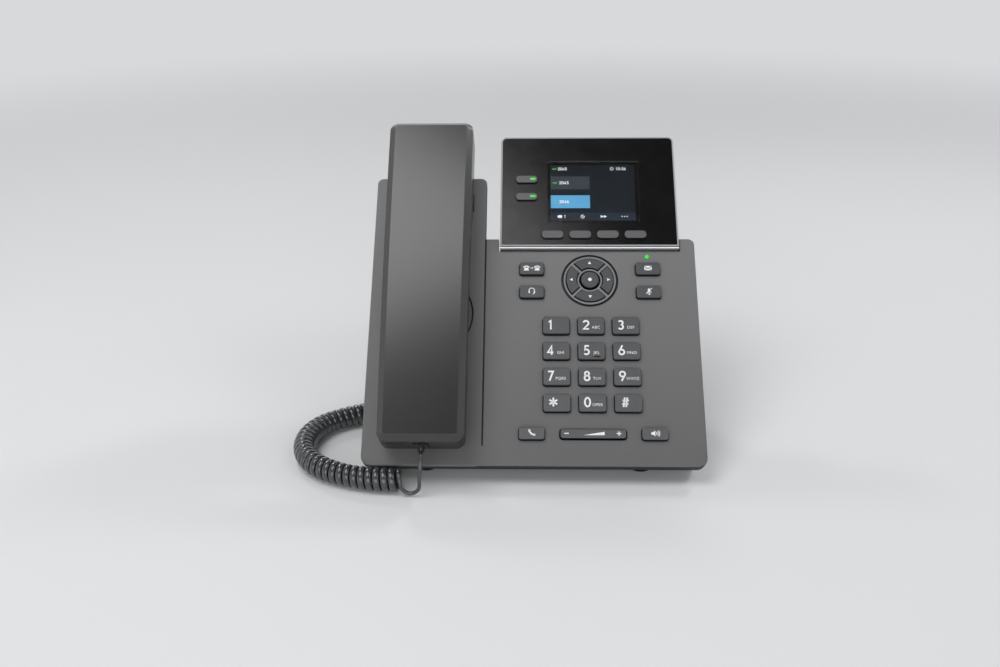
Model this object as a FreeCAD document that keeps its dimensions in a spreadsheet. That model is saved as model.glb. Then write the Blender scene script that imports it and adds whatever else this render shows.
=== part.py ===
import FreeCAD, Part
import math
import os
import Sketcher

# Desk telephone with a sloping face, a screen head and a handset on a curly cord.
# Lengths are millimetres and angles are degrees. Most pieces are drawn in the face frame: u runs to the
# right, v up along the face and w out of it, from the middle of the face's bottom edge. Pieces that stand
# square to the desk are drawn in the desk frame: x to the right, y to the back and z up, from the point of
# the desk under that edge.

SIZES = [
    # Stance
    ("tilt", 44),
    ("face_lift", 12),
    ("foot_height", 2.5),
    ("foot_radius", 6),
    ("front_foot_inset", 33.5),
    ("front_foot_y", 20.6),
    # Front housing
    ("front_depth", 6),
    ("front_skin", 2.2),
    ("front_wall", 2.2),
    ("front_corner", 5.5),
    ("front_top_corner", 3.5),
    ("front_edge", 0.9),
    ("groove_width", 0.9),
    ("groove_depth", 0.8),
    ("groove_start", 11.2),
    # Keypad face, from its bottom edge up
    ("panel_left_margin", 8.2),
    ("panel_right_margin", 9.15),
    ("bottom_margin", 14.3),
    ("bottom_key_width", 13.78),
    ("bottom_key_height", 6.55),
    ("row_gap", 8.85),
    ("digit_width", 14.7),
    ("digit_height", 9.86),
    ("digit_space_u", 4.52),
    ("digit_space_v", 5.09),
    ("nav_gap", 7.3),
    ("nav_radius", 16.1),
    ("display_gap", 2.9),
    ("display_lap", 7.4),
    ("side_key_reach", 32.8),
    ("side_key_width", 13.7),
    ("side_key_height", 7.3),
    ("side_key_pitch", 14.35),
    ("side_key_drop", 0.65),
    ("volume_length", 34.9),
    ("volume_height", 5.06),
    ("volume_play", 0.6),
    ("volume_rise", 2.2),
    ("volume_depth", 2.4),
    ("volume_hub", 4),
    ("volume_pin_radius", 0.9),
    ("volume_pin_lip", 1.2),
    ("volume_axis_depth", 3.6),
    # Keys
    ("key_corner", 1.3),
    ("key_edge", 0.6),
    ("key_rise", 2.7),
    ("key_play", 0.3),
    ("key_lip", 0.9),
    ("key_gap", 0.2),
    ("key_flange", 1),
    ("key_stem", 1.2),
    ("key_stem_width", 5),
    ("key_stem_height", 4),
    ("key_travel", 1.2),
    ("key_spare", 0.2),
    ("mat_thickness", 1.2),
    ("board_thickness", 1.6),
    ("board_margin", 3),
    ("board_post_radius", 2.5),
    ("board_post_inset", 5),
    ("light_radius", 1.1),
    ("light_rise", 0.3),
    ("light_play", 0.1),
    ("light_lip", 0.8),
    ("light_flange", 1),
    ("light_lift", 8.35),
    # Navigation cluster
    ("nav_seat_play", 0.15),
    ("nav_rim_outer", 14.7),
    ("nav_rim_inner", 13.7),
    ("nav_rim_rise", 0.3),
    ("nav_moat", 0.9),
    ("nav_flange", 1),
    ("nav_flange_lip", 1.3),
    ("nav_hub_outer", 7),
    ("nav_hub_inner", 6.1),
    ("spoke_width", 1.3),
    ("nav_play", 0.5),
    ("nav_lip", 0.9),
    ("nav_rise", 1.4),
    ("nav_edge", 0.4),
    ("ok_radius", 4.9),
    ("ok_lip", 0.4),
    ("ok_rise", 1.6),
    # Screen head
    ("display_width", 102),
    ("display_height", 73.6),
    ("display_rise", 3),
    ("display_depth", 9),
    ("display_corner", 3.3),
    ("display_edge", 0.5),
    ("display_play", 0.7),
    ("frame_rim", 0.9),
    ("frame_ledge", 1.6),
    ("trim_height", 1.2),
    ("trim_depth", 2.6),
    ("faceplate_thickness", 1.7),
    ("faceplate_recess", 0.1),
    ("faceplate_play", 0.1),
    ("lcd_width", 48.96),
    ("lcd_height", 36.72),
    ("lcd_offset", 2.75),
    ("lcd_lift", 18.45),
    ("lcd_border_u", 5.5),
    ("lcd_border_v", 3.4),
    ("lcd_thickness", 2.6),
    ("window_margin", 0.5),
    ("lens_lip", 1.6),
    ("lens_thickness", 1),
    ("lens_play", 0.1),
    ("soft_key_width", 12.35),
    ("soft_key_height", 4.67),
    ("soft_key_pitch", 15.77),
    ("soft_key_lift", 8.26),
    ("line_key_width", 12.5),
    ("line_key_height", 4.5),
    ("line_key_reach", 14.12),
    ("line_key_lift", 38.65),
    ("line_key_pitch", 11.5),
    ("screen_key_corner", 2),
    ("screen_key_rise", 1.5),
    ("screen_key_flange", 0.8),
    ("screen_key_lip", 0.7),
    ("screen_key_travel", 1),
    ("screen_key_edge", 0.4),
    ("display_board_play", 0.3),
    ("cover_depth", 4),
    ("cover_wall", 2),
    ("cover_edge", 1.4),
    ("cover_post_radius", 2.2),
    ("cover_post_inset", 6),
    ("neck_width", 60),
    ("neck_depth", 4),
    ("neck_reach", 12),
    ("neck_lap", 22),
    ("neck_screw_reach", 22),
    # Rear housing
    ("rear_inset", 3.5),
    ("rear_depth", 20),
    ("rear_wall", 2),
    ("rear_corner", 3),
    ("boss_radius", 4.2),
    ("front_boss_radius", 3.2),
    ("boss_inset", 9),
    ("boss_low_v", 24),
    ("boss_high_drop", 22),
    ("boss_meet", 14),
    ("boss_floor", 2),
    ("screw_head_radius", 2.7),
    ("screw_head_height", 1.8),
    ("screw_radius", 1.25),
    ("screw_length", 9),
    ("screw_play", 0.3),
    ("neck_screw_seat", 20),
    ("neck_screw_length", 7),
    # Port box on the back
    ("port_left", 45),
    ("port_right", 29),
    ("port_floor", 18),
    ("port_back", 88),
    ("port_board_depth", 26),
    ("net_jack_width", 16),
    ("net_jack_height", 13.6),
    ("net_jack_depth", 16),
    ("net_socket_width", 11.9),
    ("net_socket_height", 8.4),
    ("net_socket_depth", 12.5),
    ("net_jack_first", -3),
    ("net_jack_pitch", 20),
    ("cord_jack_width", 11),
    ("cord_jack_height", 12),
    ("cord_jack_depth", 14),
    ("cord_socket_width", 7.9),
    ("cord_socket_height", 6.9),
    ("cord_socket_depth", 11.5),
    ("cord_jack_first", -36),
    ("cord_jack_pitch", 14),
    ("socket_sill", 2.6),
    # Stand
    ("stand_width", 110),
    ("stand_plate", 3),
    ("stand_low_v", 100),
    ("stand_high_v", 128),
    ("stand_foot_y", 131),
    ("stand_foot_length", 13),
    ("stand_foot_thickness", 3),
    ("stand_window_width", 56),
    ("stand_window_low", 16),
    ("stand_window_high", 42),
    ("stand_foot_inset", 9),
    ("stand_foot_radius", 5),
    # Handset
    ("cradle_left_margin", 9.75),
    ("cradle_right_margin", 7.2),
    ("handset_top_width", 47.7),
    ("handset_foot_width", 45.2),
    ("handset_length", 187.5),
    ("handset_base", 7.4),
    ("handset_overhang", 20.7),
    ("handset_corner", 5),
    ("handset_chamfer", 3.4),
    ("handset_low_crest", 24),
    ("handset_high_crest", 30),
    ("handset_crest", 33.5),
    ("handset_crest_v", 115),
    ("handset_bow", 1100),
    ("handset_split", 18),
    ("handset_wall", 2.2),
    ("handset_roof", 4.4),
    ("handset_end_level", 7),
    ("handset_mouth_length", 37),
    ("handset_ear_length", 51),
    ("handset_grip_level", 15),
    ("handset_slope", 12),
    ("ear_cup_width", 30),
    ("ear_cup_length", 26),
    ("ear_cup_v", 157.5),
    ("mouth_cup_width", 32),
    ("mouth_cup_length", 28),
    ("mouth_cup_v", 26),
    ("cup_corner", 6),
    ("cup_depth", 4),
    ("cup_play", 1.2),
    ("cup_seat", 0.25),
    ("tub_wall", 1.6),
    ("receiver_radius", 10),
    ("receiver_height", 5),
    ("mic_radius", 5),
    ("mic_height", 4),
    ("grille_hole", 0.9),
    ("grille_step", 3.6),
    # Hook switch
    ("hook_reach", 20.8),
    ("hook_v", 157.5),
    ("hook_width", 5.4),
    ("hook_length", 11),
    ("hook_play", 0.3),
    ("hook_rise", 0.3),
    ("hook_travel", 4),
    ("hook_flange", 1),
    ("hook_lip", 0.8),
    ("presser_gap", 0.3),
    ("presser_inset", 1),
    # Loudspeaker behind the cradle
    ("speaker_v", 87.3),
    ("speaker_dish_radius", 24.9),
    ("speaker_dish_depth", 1),
    ("speaker_hole", 1.1),
    ("speaker_hole_step", 5.4),
    ("speaker_radius", 20),
    ("speaker_rim", 2),
    ("speaker_cone_radius", 16),
    ("speaker_cone_depth", 7),
    ("speaker_magnet_radius", 10),
    ("speaker_magnet_depth", 5),
    # Cord
    ("cord_diameter", 2.6),
    ("coil_radius", 4.9),
    ("coil_pitch", 4.1),
    ("coil_lead", 9),
    ("coil_start_angle", -55),
    ("plug_width", 7.6),
    ("plug_height", 6.6),
    ("plug_length", 11),
    ("plug_proud", 0.6),
    ("plug_play", 0.3),
    ("relief_radius", 1.8),
    ("relief_length", 2.6),
    ("tail_lead", 5),
    ("base_tail_lead", 7),
    ("handset_jack_level", 10),
]

LAYOUT = [
    # The face, across
    ("handset_width", "max(size.handset_top_width; size.handset_foot_width)"),
    ("cradle_width", "size.cradle_left_margin + place.handset_width + size.cradle_right_margin"),
    ("panel_width", "size.panel_left_margin + size.display_width + size.panel_right_margin"),
    ("face_half", "(place.cradle_width + place.panel_width) / 2"),
    ("cradle_right", "place.cradle_width - place.face_half"),
    ("display_left", "place.cradle_right + size.panel_left_margin"),
    ("display_right", "place.display_left + size.display_width"),
    ("panel_u", "(place.display_left + place.display_right) / 2"),
    ("handset_u", "size.cradle_left_margin + place.handset_width / 2 - place.face_half"),
    # The face, up
    ("bottom_row_v", "size.bottom_margin + size.bottom_key_height / 2"),
    ("digit_low", "size.bottom_margin + size.bottom_key_height + size.row_gap"),
    ("digit_pitch_u", "size.digit_width + size.digit_space_u"),
    ("digit_pitch_v", "size.digit_height + size.digit_space_v"),
    ("digit_row_v", "place.digit_low + size.digit_height / 2"),
    ("digit_top", "place.digit_row_v + 3 * place.digit_pitch_v + size.digit_height / 2"),
    ("nav_v", "place.digit_top + size.nav_gap + size.nav_radius"),
    ("side_row_v", "place.nav_v - size.side_key_drop"),
    ("light_v", "place.side_row_v + size.side_key_pitch / 2 + size.light_lift"),
    ("display_low", "place.nav_v + size.nav_radius + size.display_gap"),
    ("display_top", "place.display_low + size.display_height"),
    ("panel_length", "place.display_low + size.display_lap"),
    ("handset_end", "size.handset_base + size.handset_length"),
    ("cradle_length", "place.handset_end - size.handset_overhang"),
    # Levels under the face
    ("flange_top", "-(size.front_skin + size.key_gap)"),
    ("flange_low", "place.flange_top - size.key_flange"),
    ("stem_low", "place.flange_low - size.key_stem"),
    ("mat_top", "place.stem_low - size.key_travel - size.key_spare"),
    ("board_top", "place.mat_top - size.mat_thickness"),
    ("board_low", "place.board_top - size.board_thickness"),
    ("back_level", "-(size.front_depth + size.rear_depth)"),
    ("back_inner", "place.back_level + size.rear_wall"),
    ("nav_flange_top", "-(size.front_skin + size.nav_flange + size.key_gap)"),
    # The screen head
    ("frame_low", "place.display_low + size.trim_height"),
    ("plate_top", "size.display_rise - size.faceplate_recess"),
    ("plate_low", "place.plate_top - size.faceplate_thickness"),
    ("lcd_u", "place.panel_u + size.lcd_offset"),
    ("lcd_v", "place.display_low + size.lcd_lift + size.lcd_height / 2"),
    ("line_key_u", "place.lcd_u - size.lcd_width / 2 - size.line_key_reach"),
    ("line_key_v", "place.display_low + size.line_key_lift"),
    ("soft_key_v", "place.display_low + size.soft_key_lift"),
    ("screen_flange_top", "place.plate_low - size.key_gap"),
    ("screen_flange_low", "place.screen_flange_top - size.screen_key_flange"),
    ("screen_board_top", "place.plate_low - size.lcd_thickness"),
    ("screen_stem_low", "place.screen_board_top + size.screen_key_travel + size.key_spare"),
    ("screen_board_low", "place.screen_board_top - size.board_thickness"),
    ("cover_top", "-size.display_depth"),
    ("cover_floor", "place.cover_top - size.cover_depth + size.cover_wall"),
    ("cover_low", "place.cover_top - size.cover_depth"),
    ("neck_low", "place.cover_low - size.neck_depth"),
    ("neck_screw_v", "place.display_low - size.neck_reach / 2"),
    # The port box and the stand, square to the desk
    ("port_inner_floor", "size.port_floor + size.rear_wall"),
    ("port_inner_back", "size.port_back - size.rear_wall"),
    ("jack_floor", "place.port_inner_floor + size.board_thickness"),
    ("stand_front_y", "size.stand_low_v * cos(size.tilt) - place.back_level * sin(size.tilt)"),
    ("stand_front_z", "size.face_lift + size.stand_low_v * sin(size.tilt) + place.back_level * cos(size.tilt)"),
    ("stand_top_y", "size.stand_high_v * cos(size.tilt) - place.back_level * sin(size.tilt)"),
    ("stand_top_z", "size.face_lift + size.stand_high_v * sin(size.tilt) + place.back_level * cos(size.tilt)"),
    ("stand_back_y", "size.stand_foot_y + size.stand_foot_length"),
    ("stand_floor", "size.foot_height + size.stand_foot_thickness"),
    # The handset
    ("cup_low", "-size.cup_depth"),
    ("tub_floor", "place.cup_low - size.cup_seat"),
    ("tub_low", "place.tub_floor - size.tub_wall"),
    ("hook_u", "place.handset_u + size.hook_reach"),
    ("plug_level", "size.handset_jack_level + size.plug_height / 2"),
]

DIGIT_ROWS = [["1", "2", "3"], ["4", "5", "6"], ["7", "8", "9"], ["star", "0", "hash"]]
NAV_TURNS = {"nav_up": 0, "nav_left": 90, "nav_down": 180, "nav_right": 270}
SPEAKER_RINGS = {0: 1, 1: 6, 2: 12}
EAR_RINGS = {0: 1, 1: 6}

# The free ends of the cord and the line that the coil lies along, in the desk frame. They are chosen by
# hand, as a cord is laid. The first point of each tail is its plug and the last one is the coil.
HANDSET_TAIL = [(-58.3, -12.6, 13.6), (-58.4, -11.2, 9), (-58.8, -9.8, 5.4)]
COIL_LINE = [
    (-68, -5.4),
    (-79, -5.4),
    (-90.5, -3.6),
    (-104, 0.6),
    (-116.9, 8),
    (-125.1, 18.2),
    (-128.7, 30.9),
    (-127.1, 43.8),
    (-120.4, 55.3),
    (-109, 63),
    (-97, 67.6),
    (-85, 73.4),
    (-75, 81.6),
    (-68.6, 92.2),
    (-66, 104),
    (-66, 112),
]
BASE_TAIL = [
    (-36.8, 104.3, 22.2),
    (-38.8, 112.6, 15.6),
    (-42.8, 119.8, 9.2),
    (-48.8, 125, 4.4),
    (-56.5, 127.3, 2.3),
    (-64, 126.6, 2.24),
]
FLOOR_GAP = 0.05
COIL_STEP = 0.02

doc = FreeCAD.newDocument("desk_phone")
Vector = FreeCAD.Vector


def fill_sheet(name, rows):
    """Writes one value per row, each under its own alias."""
    sheet = doc.addObject("Spreadsheet::Sheet", name)
    for row, (alias, content) in enumerate(rows, start=1):
        sheet.set(f"A{row}", content)
        sheet.setAlias(f"A{row}", alias)
    doc.recompute()
    return sheet


size_sheet = fill_sheet("size", [(alias, f"{value:g}") for alias, value in SIZES])
place_sheet = fill_sheet("place", [(alias, "=" + formula) for alias, formula in LAYOUT])


def number(expression):
    """The value of an expression on the two sheets."""
    return float(size_sheet.evalExpression(expression))


def desk_y(v, w):
    """Depth on the desk of a point of the face frame."""
    return f"(({v}) * cos(size.tilt) - ({w}) * sin(size.tilt))"


def desk_z(v, w):
    """Height over the desk of a point of the face frame."""
    return f"(size.face_lift + ({v}) * sin(size.tilt) + ({w}) * cos(size.tilt))"


def face_v(y, z):
    """Distance up the face of a point of the desk frame."""
    return f"(({y}) * cos(size.tilt) + (({z}) - size.face_lift) * sin(size.tilt))"


def face_w(y, z):
    """Distance out of the face of a point of the desk frame."""
    return f"((({z}) - size.face_lift) * cos(size.tilt) - ({y}) * sin(size.tilt))"


# Sketches and features


def new_body(label):
    body = doc.addObject("PartDesign::Body", label)
    body.Label = label
    return body


def sketch_on(body, plane="XY_Plane", u="0", v="0", w="0", turn=0):
    """A sketch on one of the body's own planes, moved along that plane's axes and turned in it."""
    sketch = body.newObject("Sketcher::SketchObject", body.Label + "_sketch")
    support = [feature for feature in body.Origin.OriginFeatures if feature.Role == plane]
    sketch.AttachmentSupport = [(support[0], "")]
    sketch.MapMode = "FlatFace"
    sketch.AttachmentOffset = FreeCAD.Placement(Vector(), FreeCAD.Rotation(Vector(0, 0, 1), turn))
    for axis, expression in zip("xyz", (u, v, w)):
        sketch.setExpression("AttachmentOffset.Base." + axis, expression)
    return sketch


def bind(sketch, kind, *terms):
    """Adds a constraint whose last term is an expression."""
    *elements, expression = terms
    index = sketch.addConstraint(Sketcher.Constraint(kind, *elements, number(expression)))
    sketch.setExpression(f"Constraints[{index}]", expression)


def place_point(sketch, element, point, u, v):
    bind(sketch, "DistanceX", -1, 1, element, point, u)
    bind(sketch, "DistanceY", -1, 1, element, point, v)


def draw_outline(sketch, corners):
    """Draws a closed outline through corners of (u, v, radius) expressions. A radius of None is sharp."""
    spots = [Vector(number(u), number(v), 0) for u, v, _ in corners]
    count = len(corners)
    ways = [(spots[(i + 1) % count] - spots[i]).normalize() for i in range(count)]
    before, after = [], []
    for i, (_, _, radius) in enumerate(corners):
        turn = ways[i - 1].getAngle(ways[i])
        reach = number(radius) * math.tan(turn / 2) if radius else 0
        before.append(spots[i] - ways[i - 1] * reach)
        after.append(spots[i] + ways[i] * reach)
    for i in range(count):
        sketch.addGeometry(Part.LineSegment(after[i], before[(i + 1) % count]))
    for i, (u, v, radius) in enumerate(corners):
        last = (i - 1) % count
        if radius is None:
            sketch.addConstraint(Sketcher.Constraint("Coincident", last, 2, i, 1))
            place_point(sketch, i, 1, u, v)
            continue
        left_turn = ways[last].cross(ways[i]).z > 0
        side = Vector(-ways[last].y, ways[last].x, 0) * (1 if left_turn else -1)
        centre = before[i] + side * number(radius)
        ends = [before[i], after[i]] if left_turn else [after[i], before[i]]
        angles = [math.atan2(end.y - centre.y, end.x - centre.x) for end in ends]
        circle = Part.Circle(centre, Vector(0, 0, 1), number(radius))
        arc = sketch.addGeometry(Part.ArcOfCircle(circle, *angles))
        corner = sketch.addGeometry(Part.Point(spots[i]), True)
        sketch.addConstraint(Sketcher.Constraint("Tangent", last, 2, arc, 1 if left_turn else 2))
        sketch.addConstraint(Sketcher.Constraint("Tangent", i, 1, arc, 2 if left_turn else 1))
        sketch.addConstraint(Sketcher.Constraint("PointOnObject", corner, 1, last))
        sketch.addConstraint(Sketcher.Constraint("PointOnObject", corner, 1, i))
        place_point(sketch, corner, 1, u, v)
        bind(sketch, "Radius", arc, radius)


def draw_box(sketch, left, right, low, high, radius=None):
    corners = [(left, low), (right, low), (right, high), (left, high)]
    draw_outline(sketch, [(u, v, radius) for u, v in corners])


def draw_centred(sketch, width, height, radius=None):
    half, tall = f"({width}) / 2", f"({height}) / 2"
    draw_box(sketch, f"-{half}", half, f"-{tall}", tall, radius)


def draw_circle(sketch, radius, u="0", v="0"):
    centre = Vector(number(u), number(v), 0)
    circle = sketch.addGeometry(Part.Circle(centre, Vector(0, 0, 1), number(radius)))
    place_point(sketch, circle, 3, u, v)
    bind(sketch, "Radius", circle, radius)


def draw_rings(sketch, hole, step, rings):
    """Round holes in rings about the sketch's origin, as many in each ring as its entry says."""
    for ring, count in rings.items():
        for k in range(count):
            angle = 360 * k / count
            along = f"{ring} * ({step})"
            draw_circle(sketch, hole, f"{along} * cos({angle})", f"{along} * sin({angle})")


def draw_sector(sketch, inner, outer, gap):
    """A quarter of a ring about the +v direction, its straight sides kept a gap from the diagonals."""
    low, high = number(inner), number(outer)
    shift = number(gap)
    starts = [math.pi / 4 + math.asin(shift / radius) for radius in (low, high)]
    arcs = []
    for radius, start in zip((low, high), starts):
        circle = Part.Circle(Vector(), Vector(0, 0, 1), radius)
        arcs.append(sketch.addGeometry(Part.ArcOfCircle(circle, start, math.pi - start)))
    ends = [[sketch.getPoint(arc, point) for point in (1, 2)] for arc in arcs]
    right = sketch.addGeometry(Part.LineSegment(ends[0][0], ends[1][0]))
    left = sketch.addGeometry(Part.LineSegment(ends[1][1], ends[0][1]))
    joins = [(right, 1, arcs[0], 1), (right, 2, arcs[1], 1), (left, 1, arcs[1], 2), (left, 2, arcs[0], 2)]
    for join in joins:
        sketch.addConstraint(Sketcher.Constraint("Coincident", *join))
    for arc, radius in zip(arcs, (inner, outer)):
        sketch.addConstraint(Sketcher.Constraint("Coincident", arc, 3, -1, 1))
        bind(sketch, "Radius", arc, radius)
        reach = f"(sqrt(({radius})^2 - ({gap})^2) - ({gap})) / sqrt(2)"
        bind(sketch, "DistanceX", -1, 1, arc, 1, reach)
        bind(sketch, "DistanceX", -1, 1, arc, 2, f"-({reach})")


def pad(body, sketch, length, backward=False):
    feature = body.newObject("PartDesign::Pad", body.Label + "_pad")
    feature.Profile = sketch
    feature.Reversed = backward
    feature.setExpression("Length", length)
    doc.recompute()
    return feature


def pocket(body, sketch, length, forward=False):
    """Cuts against the sketch's normal, or along it."""
    before = body.Shape.Volume
    feature = body.newObject("PartDesign::Pocket", body.Label + "_pocket")
    feature.Profile = sketch
    feature.Reversed = forward
    feature.setExpression("Length", length)
    doc.recompute()
    if body.Shape.Volume >= before:
        raise RuntimeError(f"A pocket of {body.Label} cuts nothing")
    return feature


def edges_where(body, test):
    return [f"Edge{i}" for i, edge in enumerate(body.Shape.Edges, start=1) if test(edge)]


def lies_at(level):
    """True for an edge that lies at one height w."""
    height = number(level)

    def test(edge):
        box = edge.BoundBox
        return abs(box.ZMin - height) < 1e-4 and abs(box.ZMax - height) < 1e-4

    return test


def round_edges(body, test, radius, kind="PartDesign::Fillet", bound="Radius"):
    names = edges_where(body, test)
    base = body.Tip
    feature = body.newObject(kind, body.Label + "_edge")
    feature.Base = (base, names)
    feature.setExpression(bound, radius)
    doc.recompute()
    return feature


# The body of the phone


def face_outline(inset, low_radius, high_radius):
    """The face's outline: the keypad section with the longer cradle at its left."""
    left, right = f"{inset} - place.face_half", f"place.face_half - {inset}"
    step, top = f"place.cradle_right - {inset}", f"place.cradle_length - {inset}"
    shoulder = f"place.panel_length - {inset}"
    return [
        (left, inset, low_radius),
        (right, inset, low_radius),
        (right, shoulder, high_radius),
        (step, shoulder, None),
        (step, top, high_radius),
        (left, top, high_radius),
    ]


def key_spots():
    """Each key on the face: its label, place, width and height."""
    spots = []
    for row, names in enumerate(DIGIT_ROWS):
        v = f"place.digit_row_v + {3 - row} * place.digit_pitch_v"
        for column, name in enumerate(names):
            u = f"place.panel_u + {column - 1} * place.digit_pitch_u"
            spots.append((f"key_{name}", u, v, "size.digit_width", "size.digit_height"))
    side_keys = [
        ("transfer_key", "-", "+"),
        ("headset_key", "-", "-"),
        ("message_key", "+", "+"),
        ("mute_key", "+", "-"),
    ]
    for label, across, up in side_keys:
        u = f"place.panel_u {across} size.side_key_reach"
        v = f"place.side_row_v {up} size.side_key_pitch / 2"
        spots.append((label, u, v, "size.side_key_width", "size.side_key_height"))
    for label, across in [("send_key", "-"), ("speaker_key", "+")]:
        u = f"place.panel_u {across} size.side_key_reach"
        spots.append((label, u, "place.bottom_row_v", "size.bottom_key_width", "size.bottom_key_height"))
    return spots


def screen_key_spots():
    """Each key beside the screen: its label, place, width and height."""
    spots = []
    for k in (0, 1):
        v = f"place.line_key_v + {0.5 - k} * size.line_key_pitch"
        spots.append((f"line_key_{k + 1}", "place.line_key_u", v, "size.line_key_width", "size.line_key_height"))
    for k in range(4):
        u = f"place.lcd_u + {k - 1.5} * size.soft_key_pitch"
        spots.append((f"soft_key_{k + 1}", u, "place.soft_key_v", "size.soft_key_width", "size.soft_key_height"))
    return spots


def screw_spots():
    """The four screws that join the two housings."""
    left, right = "size.boss_inset - place.face_half", "place.face_half - size.boss_inset"
    return [
        (left, "size.boss_low_v"),
        (right, "size.boss_low_v"),
        (right, "place.panel_length - size.boss_high_drop"),
        (left, "place.cradle_length - size.boss_inset"),
    ]


def neck_screw_spots():
    return [(f"place.panel_u {sign} size.neck_screw_reach", "place.neck_screw_v") for sign in "-+"]


def make_front_housing():
    """The face: keypad section and handset cradle in one moulding."""
    shell = new_body("front_housing")
    outline = sketch_on(shell, w="-size.front_depth")
    draw_outline(outline, face_outline("0", "size.front_corner", "size.front_top_corner"))
    pad(shell, outline, "size.front_depth")
    round_edges(shell, lies_at("0"), "size.front_edge")
    hollow = sketch_on(shell, w="-size.front_depth")
    draw_outline(hollow, face_outline("size.front_wall", None, None))
    pocket(shell, hollow, "size.front_depth - size.front_skin", forward=True)
    # Bosses for the screws
    for u, v in screw_spots():
        boss = sketch_on(shell, u=u, v=v, w="-size.boss_meet")
        draw_circle(boss, "size.front_boss_radius")
        pad(shell, boss, "size.boss_meet - size.front_skin / 2")
        pilot = sketch_on(shell, u=u, v=v, w="-size.boss_meet")
        draw_circle(pilot, "size.screw_radius")
        pocket(shell, pilot, "size.screw_length - size.boss_floor", forward=True)
    # Tubs that take the two cups of the handset
    for cup in ("ear", "mouth"):
        spot = {"u": "place.handset_u", "v": f"size.{cup}_cup_v"}
        width = f"size.{cup}_cup_width + 2 * size.cup_play"
        length = f"size.{cup}_cup_length + 2 * size.cup_play"
        tub = sketch_on(shell, w="place.tub_low", **spot)
        walls = "2 * size.tub_wall"
        draw_centred(tub, f"{width} + {walls}", f"{length} + {walls}", "size.cup_corner + size.tub_wall")
        pad(shell, tub, "-place.tub_low - size.front_skin / 2")
        mouth = sketch_on(shell, **spot)
        draw_centred(mouth, width, length, "size.cup_corner")
        pocket(shell, mouth, "-place.tub_floor")
    # Openings for the keys
    for _, u, v, width, height in key_spots():
        hole = sketch_on(shell, u=u, v=v)
        room = "2 * size.key_play"
        draw_centred(hole, f"{width} + {room}", f"{height} + {room}", "size.key_corner + size.key_play")
        pocket(shell, hole, "size.front_skin")
    rocker = sketch_on(shell, u="place.panel_u", v="place.bottom_row_v")
    room = "2 * size.volume_play"
    corner = "size.key_corner + size.volume_play"
    draw_centred(rocker, f"size.volume_length + {room}", f"size.volume_height + {room}", corner)
    pocket(shell, rocker, "size.front_skin")
    well = sketch_on(shell, u="place.panel_u", v="place.nav_v")
    draw_circle(well, "size.nav_radius")
    pocket(shell, well, "size.front_skin")
    lamp = sketch_on(shell, u="place.panel_u + size.side_key_reach", v="place.light_v")
    draw_circle(lamp, "size.light_radius + size.light_play")
    pocket(shell, lamp, "size.front_skin")
    hook = sketch_on(shell, u="place.hook_u", v="size.hook_v")
    room = "2 * size.hook_play"
    draw_centred(hook, f"size.hook_width + {room}", f"size.hook_length + {room}")
    pocket(shell, hook, "-place.tub_low")
    # The notch that the screen head stands in, and the groove beside the cradle
    notch = sketch_on(shell)
    left, right = "place.display_left - size.display_play", "place.display_right + size.display_play"
    top = "place.panel_length + size.display_play"
    draw_box(notch, left, right, "place.display_low - size.display_play", top)
    pocket(shell, notch, "size.front_depth")
    groove = sketch_on(shell)
    left = "place.cradle_right - size.groove_width / 2"
    draw_box(groove, left, f"{left} + size.groove_width", "size.groove_start", "place.panel_length")
    pocket(shell, groove, "size.groove_depth")
    # The loudspeaker's dish and its holes
    dish = sketch_on(shell, u="place.handset_u", v="size.speaker_v")
    draw_circle(dish, "size.speaker_dish_radius")
    pocket(shell, dish, "size.speaker_dish_depth")
    grille = sketch_on(shell, u="place.handset_u", v="size.speaker_v")
    draw_rings(grille, "size.speaker_hole", "size.speaker_hole_step", SPEAKER_RINGS)
    pocket(shell, grille, "size.front_skin")
    return shell


def base_level(v, lift="0"):
    """Height w of the flat base over the feet, at a place up the face."""
    rise = f"(size.foot_height + {lift} - size.face_lift)"
    return f"({rise} / cos(size.tilt) - ({v}) * tan(size.tilt))"


def base_place(w, lift="0"):
    """Place v at which the flat base reaches a height w."""
    rise = f"(size.foot_height + {lift} - size.face_lift)"
    return f"(({rise} / cos(size.tilt) - ({w})) / tan(size.tilt))"


def cut_desk_box(body, left, width, front, back, low, high):
    """Cuts a box that is square to the desk out of a body drawn in the face frame."""
    sketch = sketch_on(body, "YZ_Plane", w=left)
    corners = [(front, low), (back, low), (back, high), (front, high)]
    draw_outline(sketch, [(face_v(y, z), face_w(y, z), None) for y, z in corners])
    pocket(body, sketch, width, forward=True)


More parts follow.
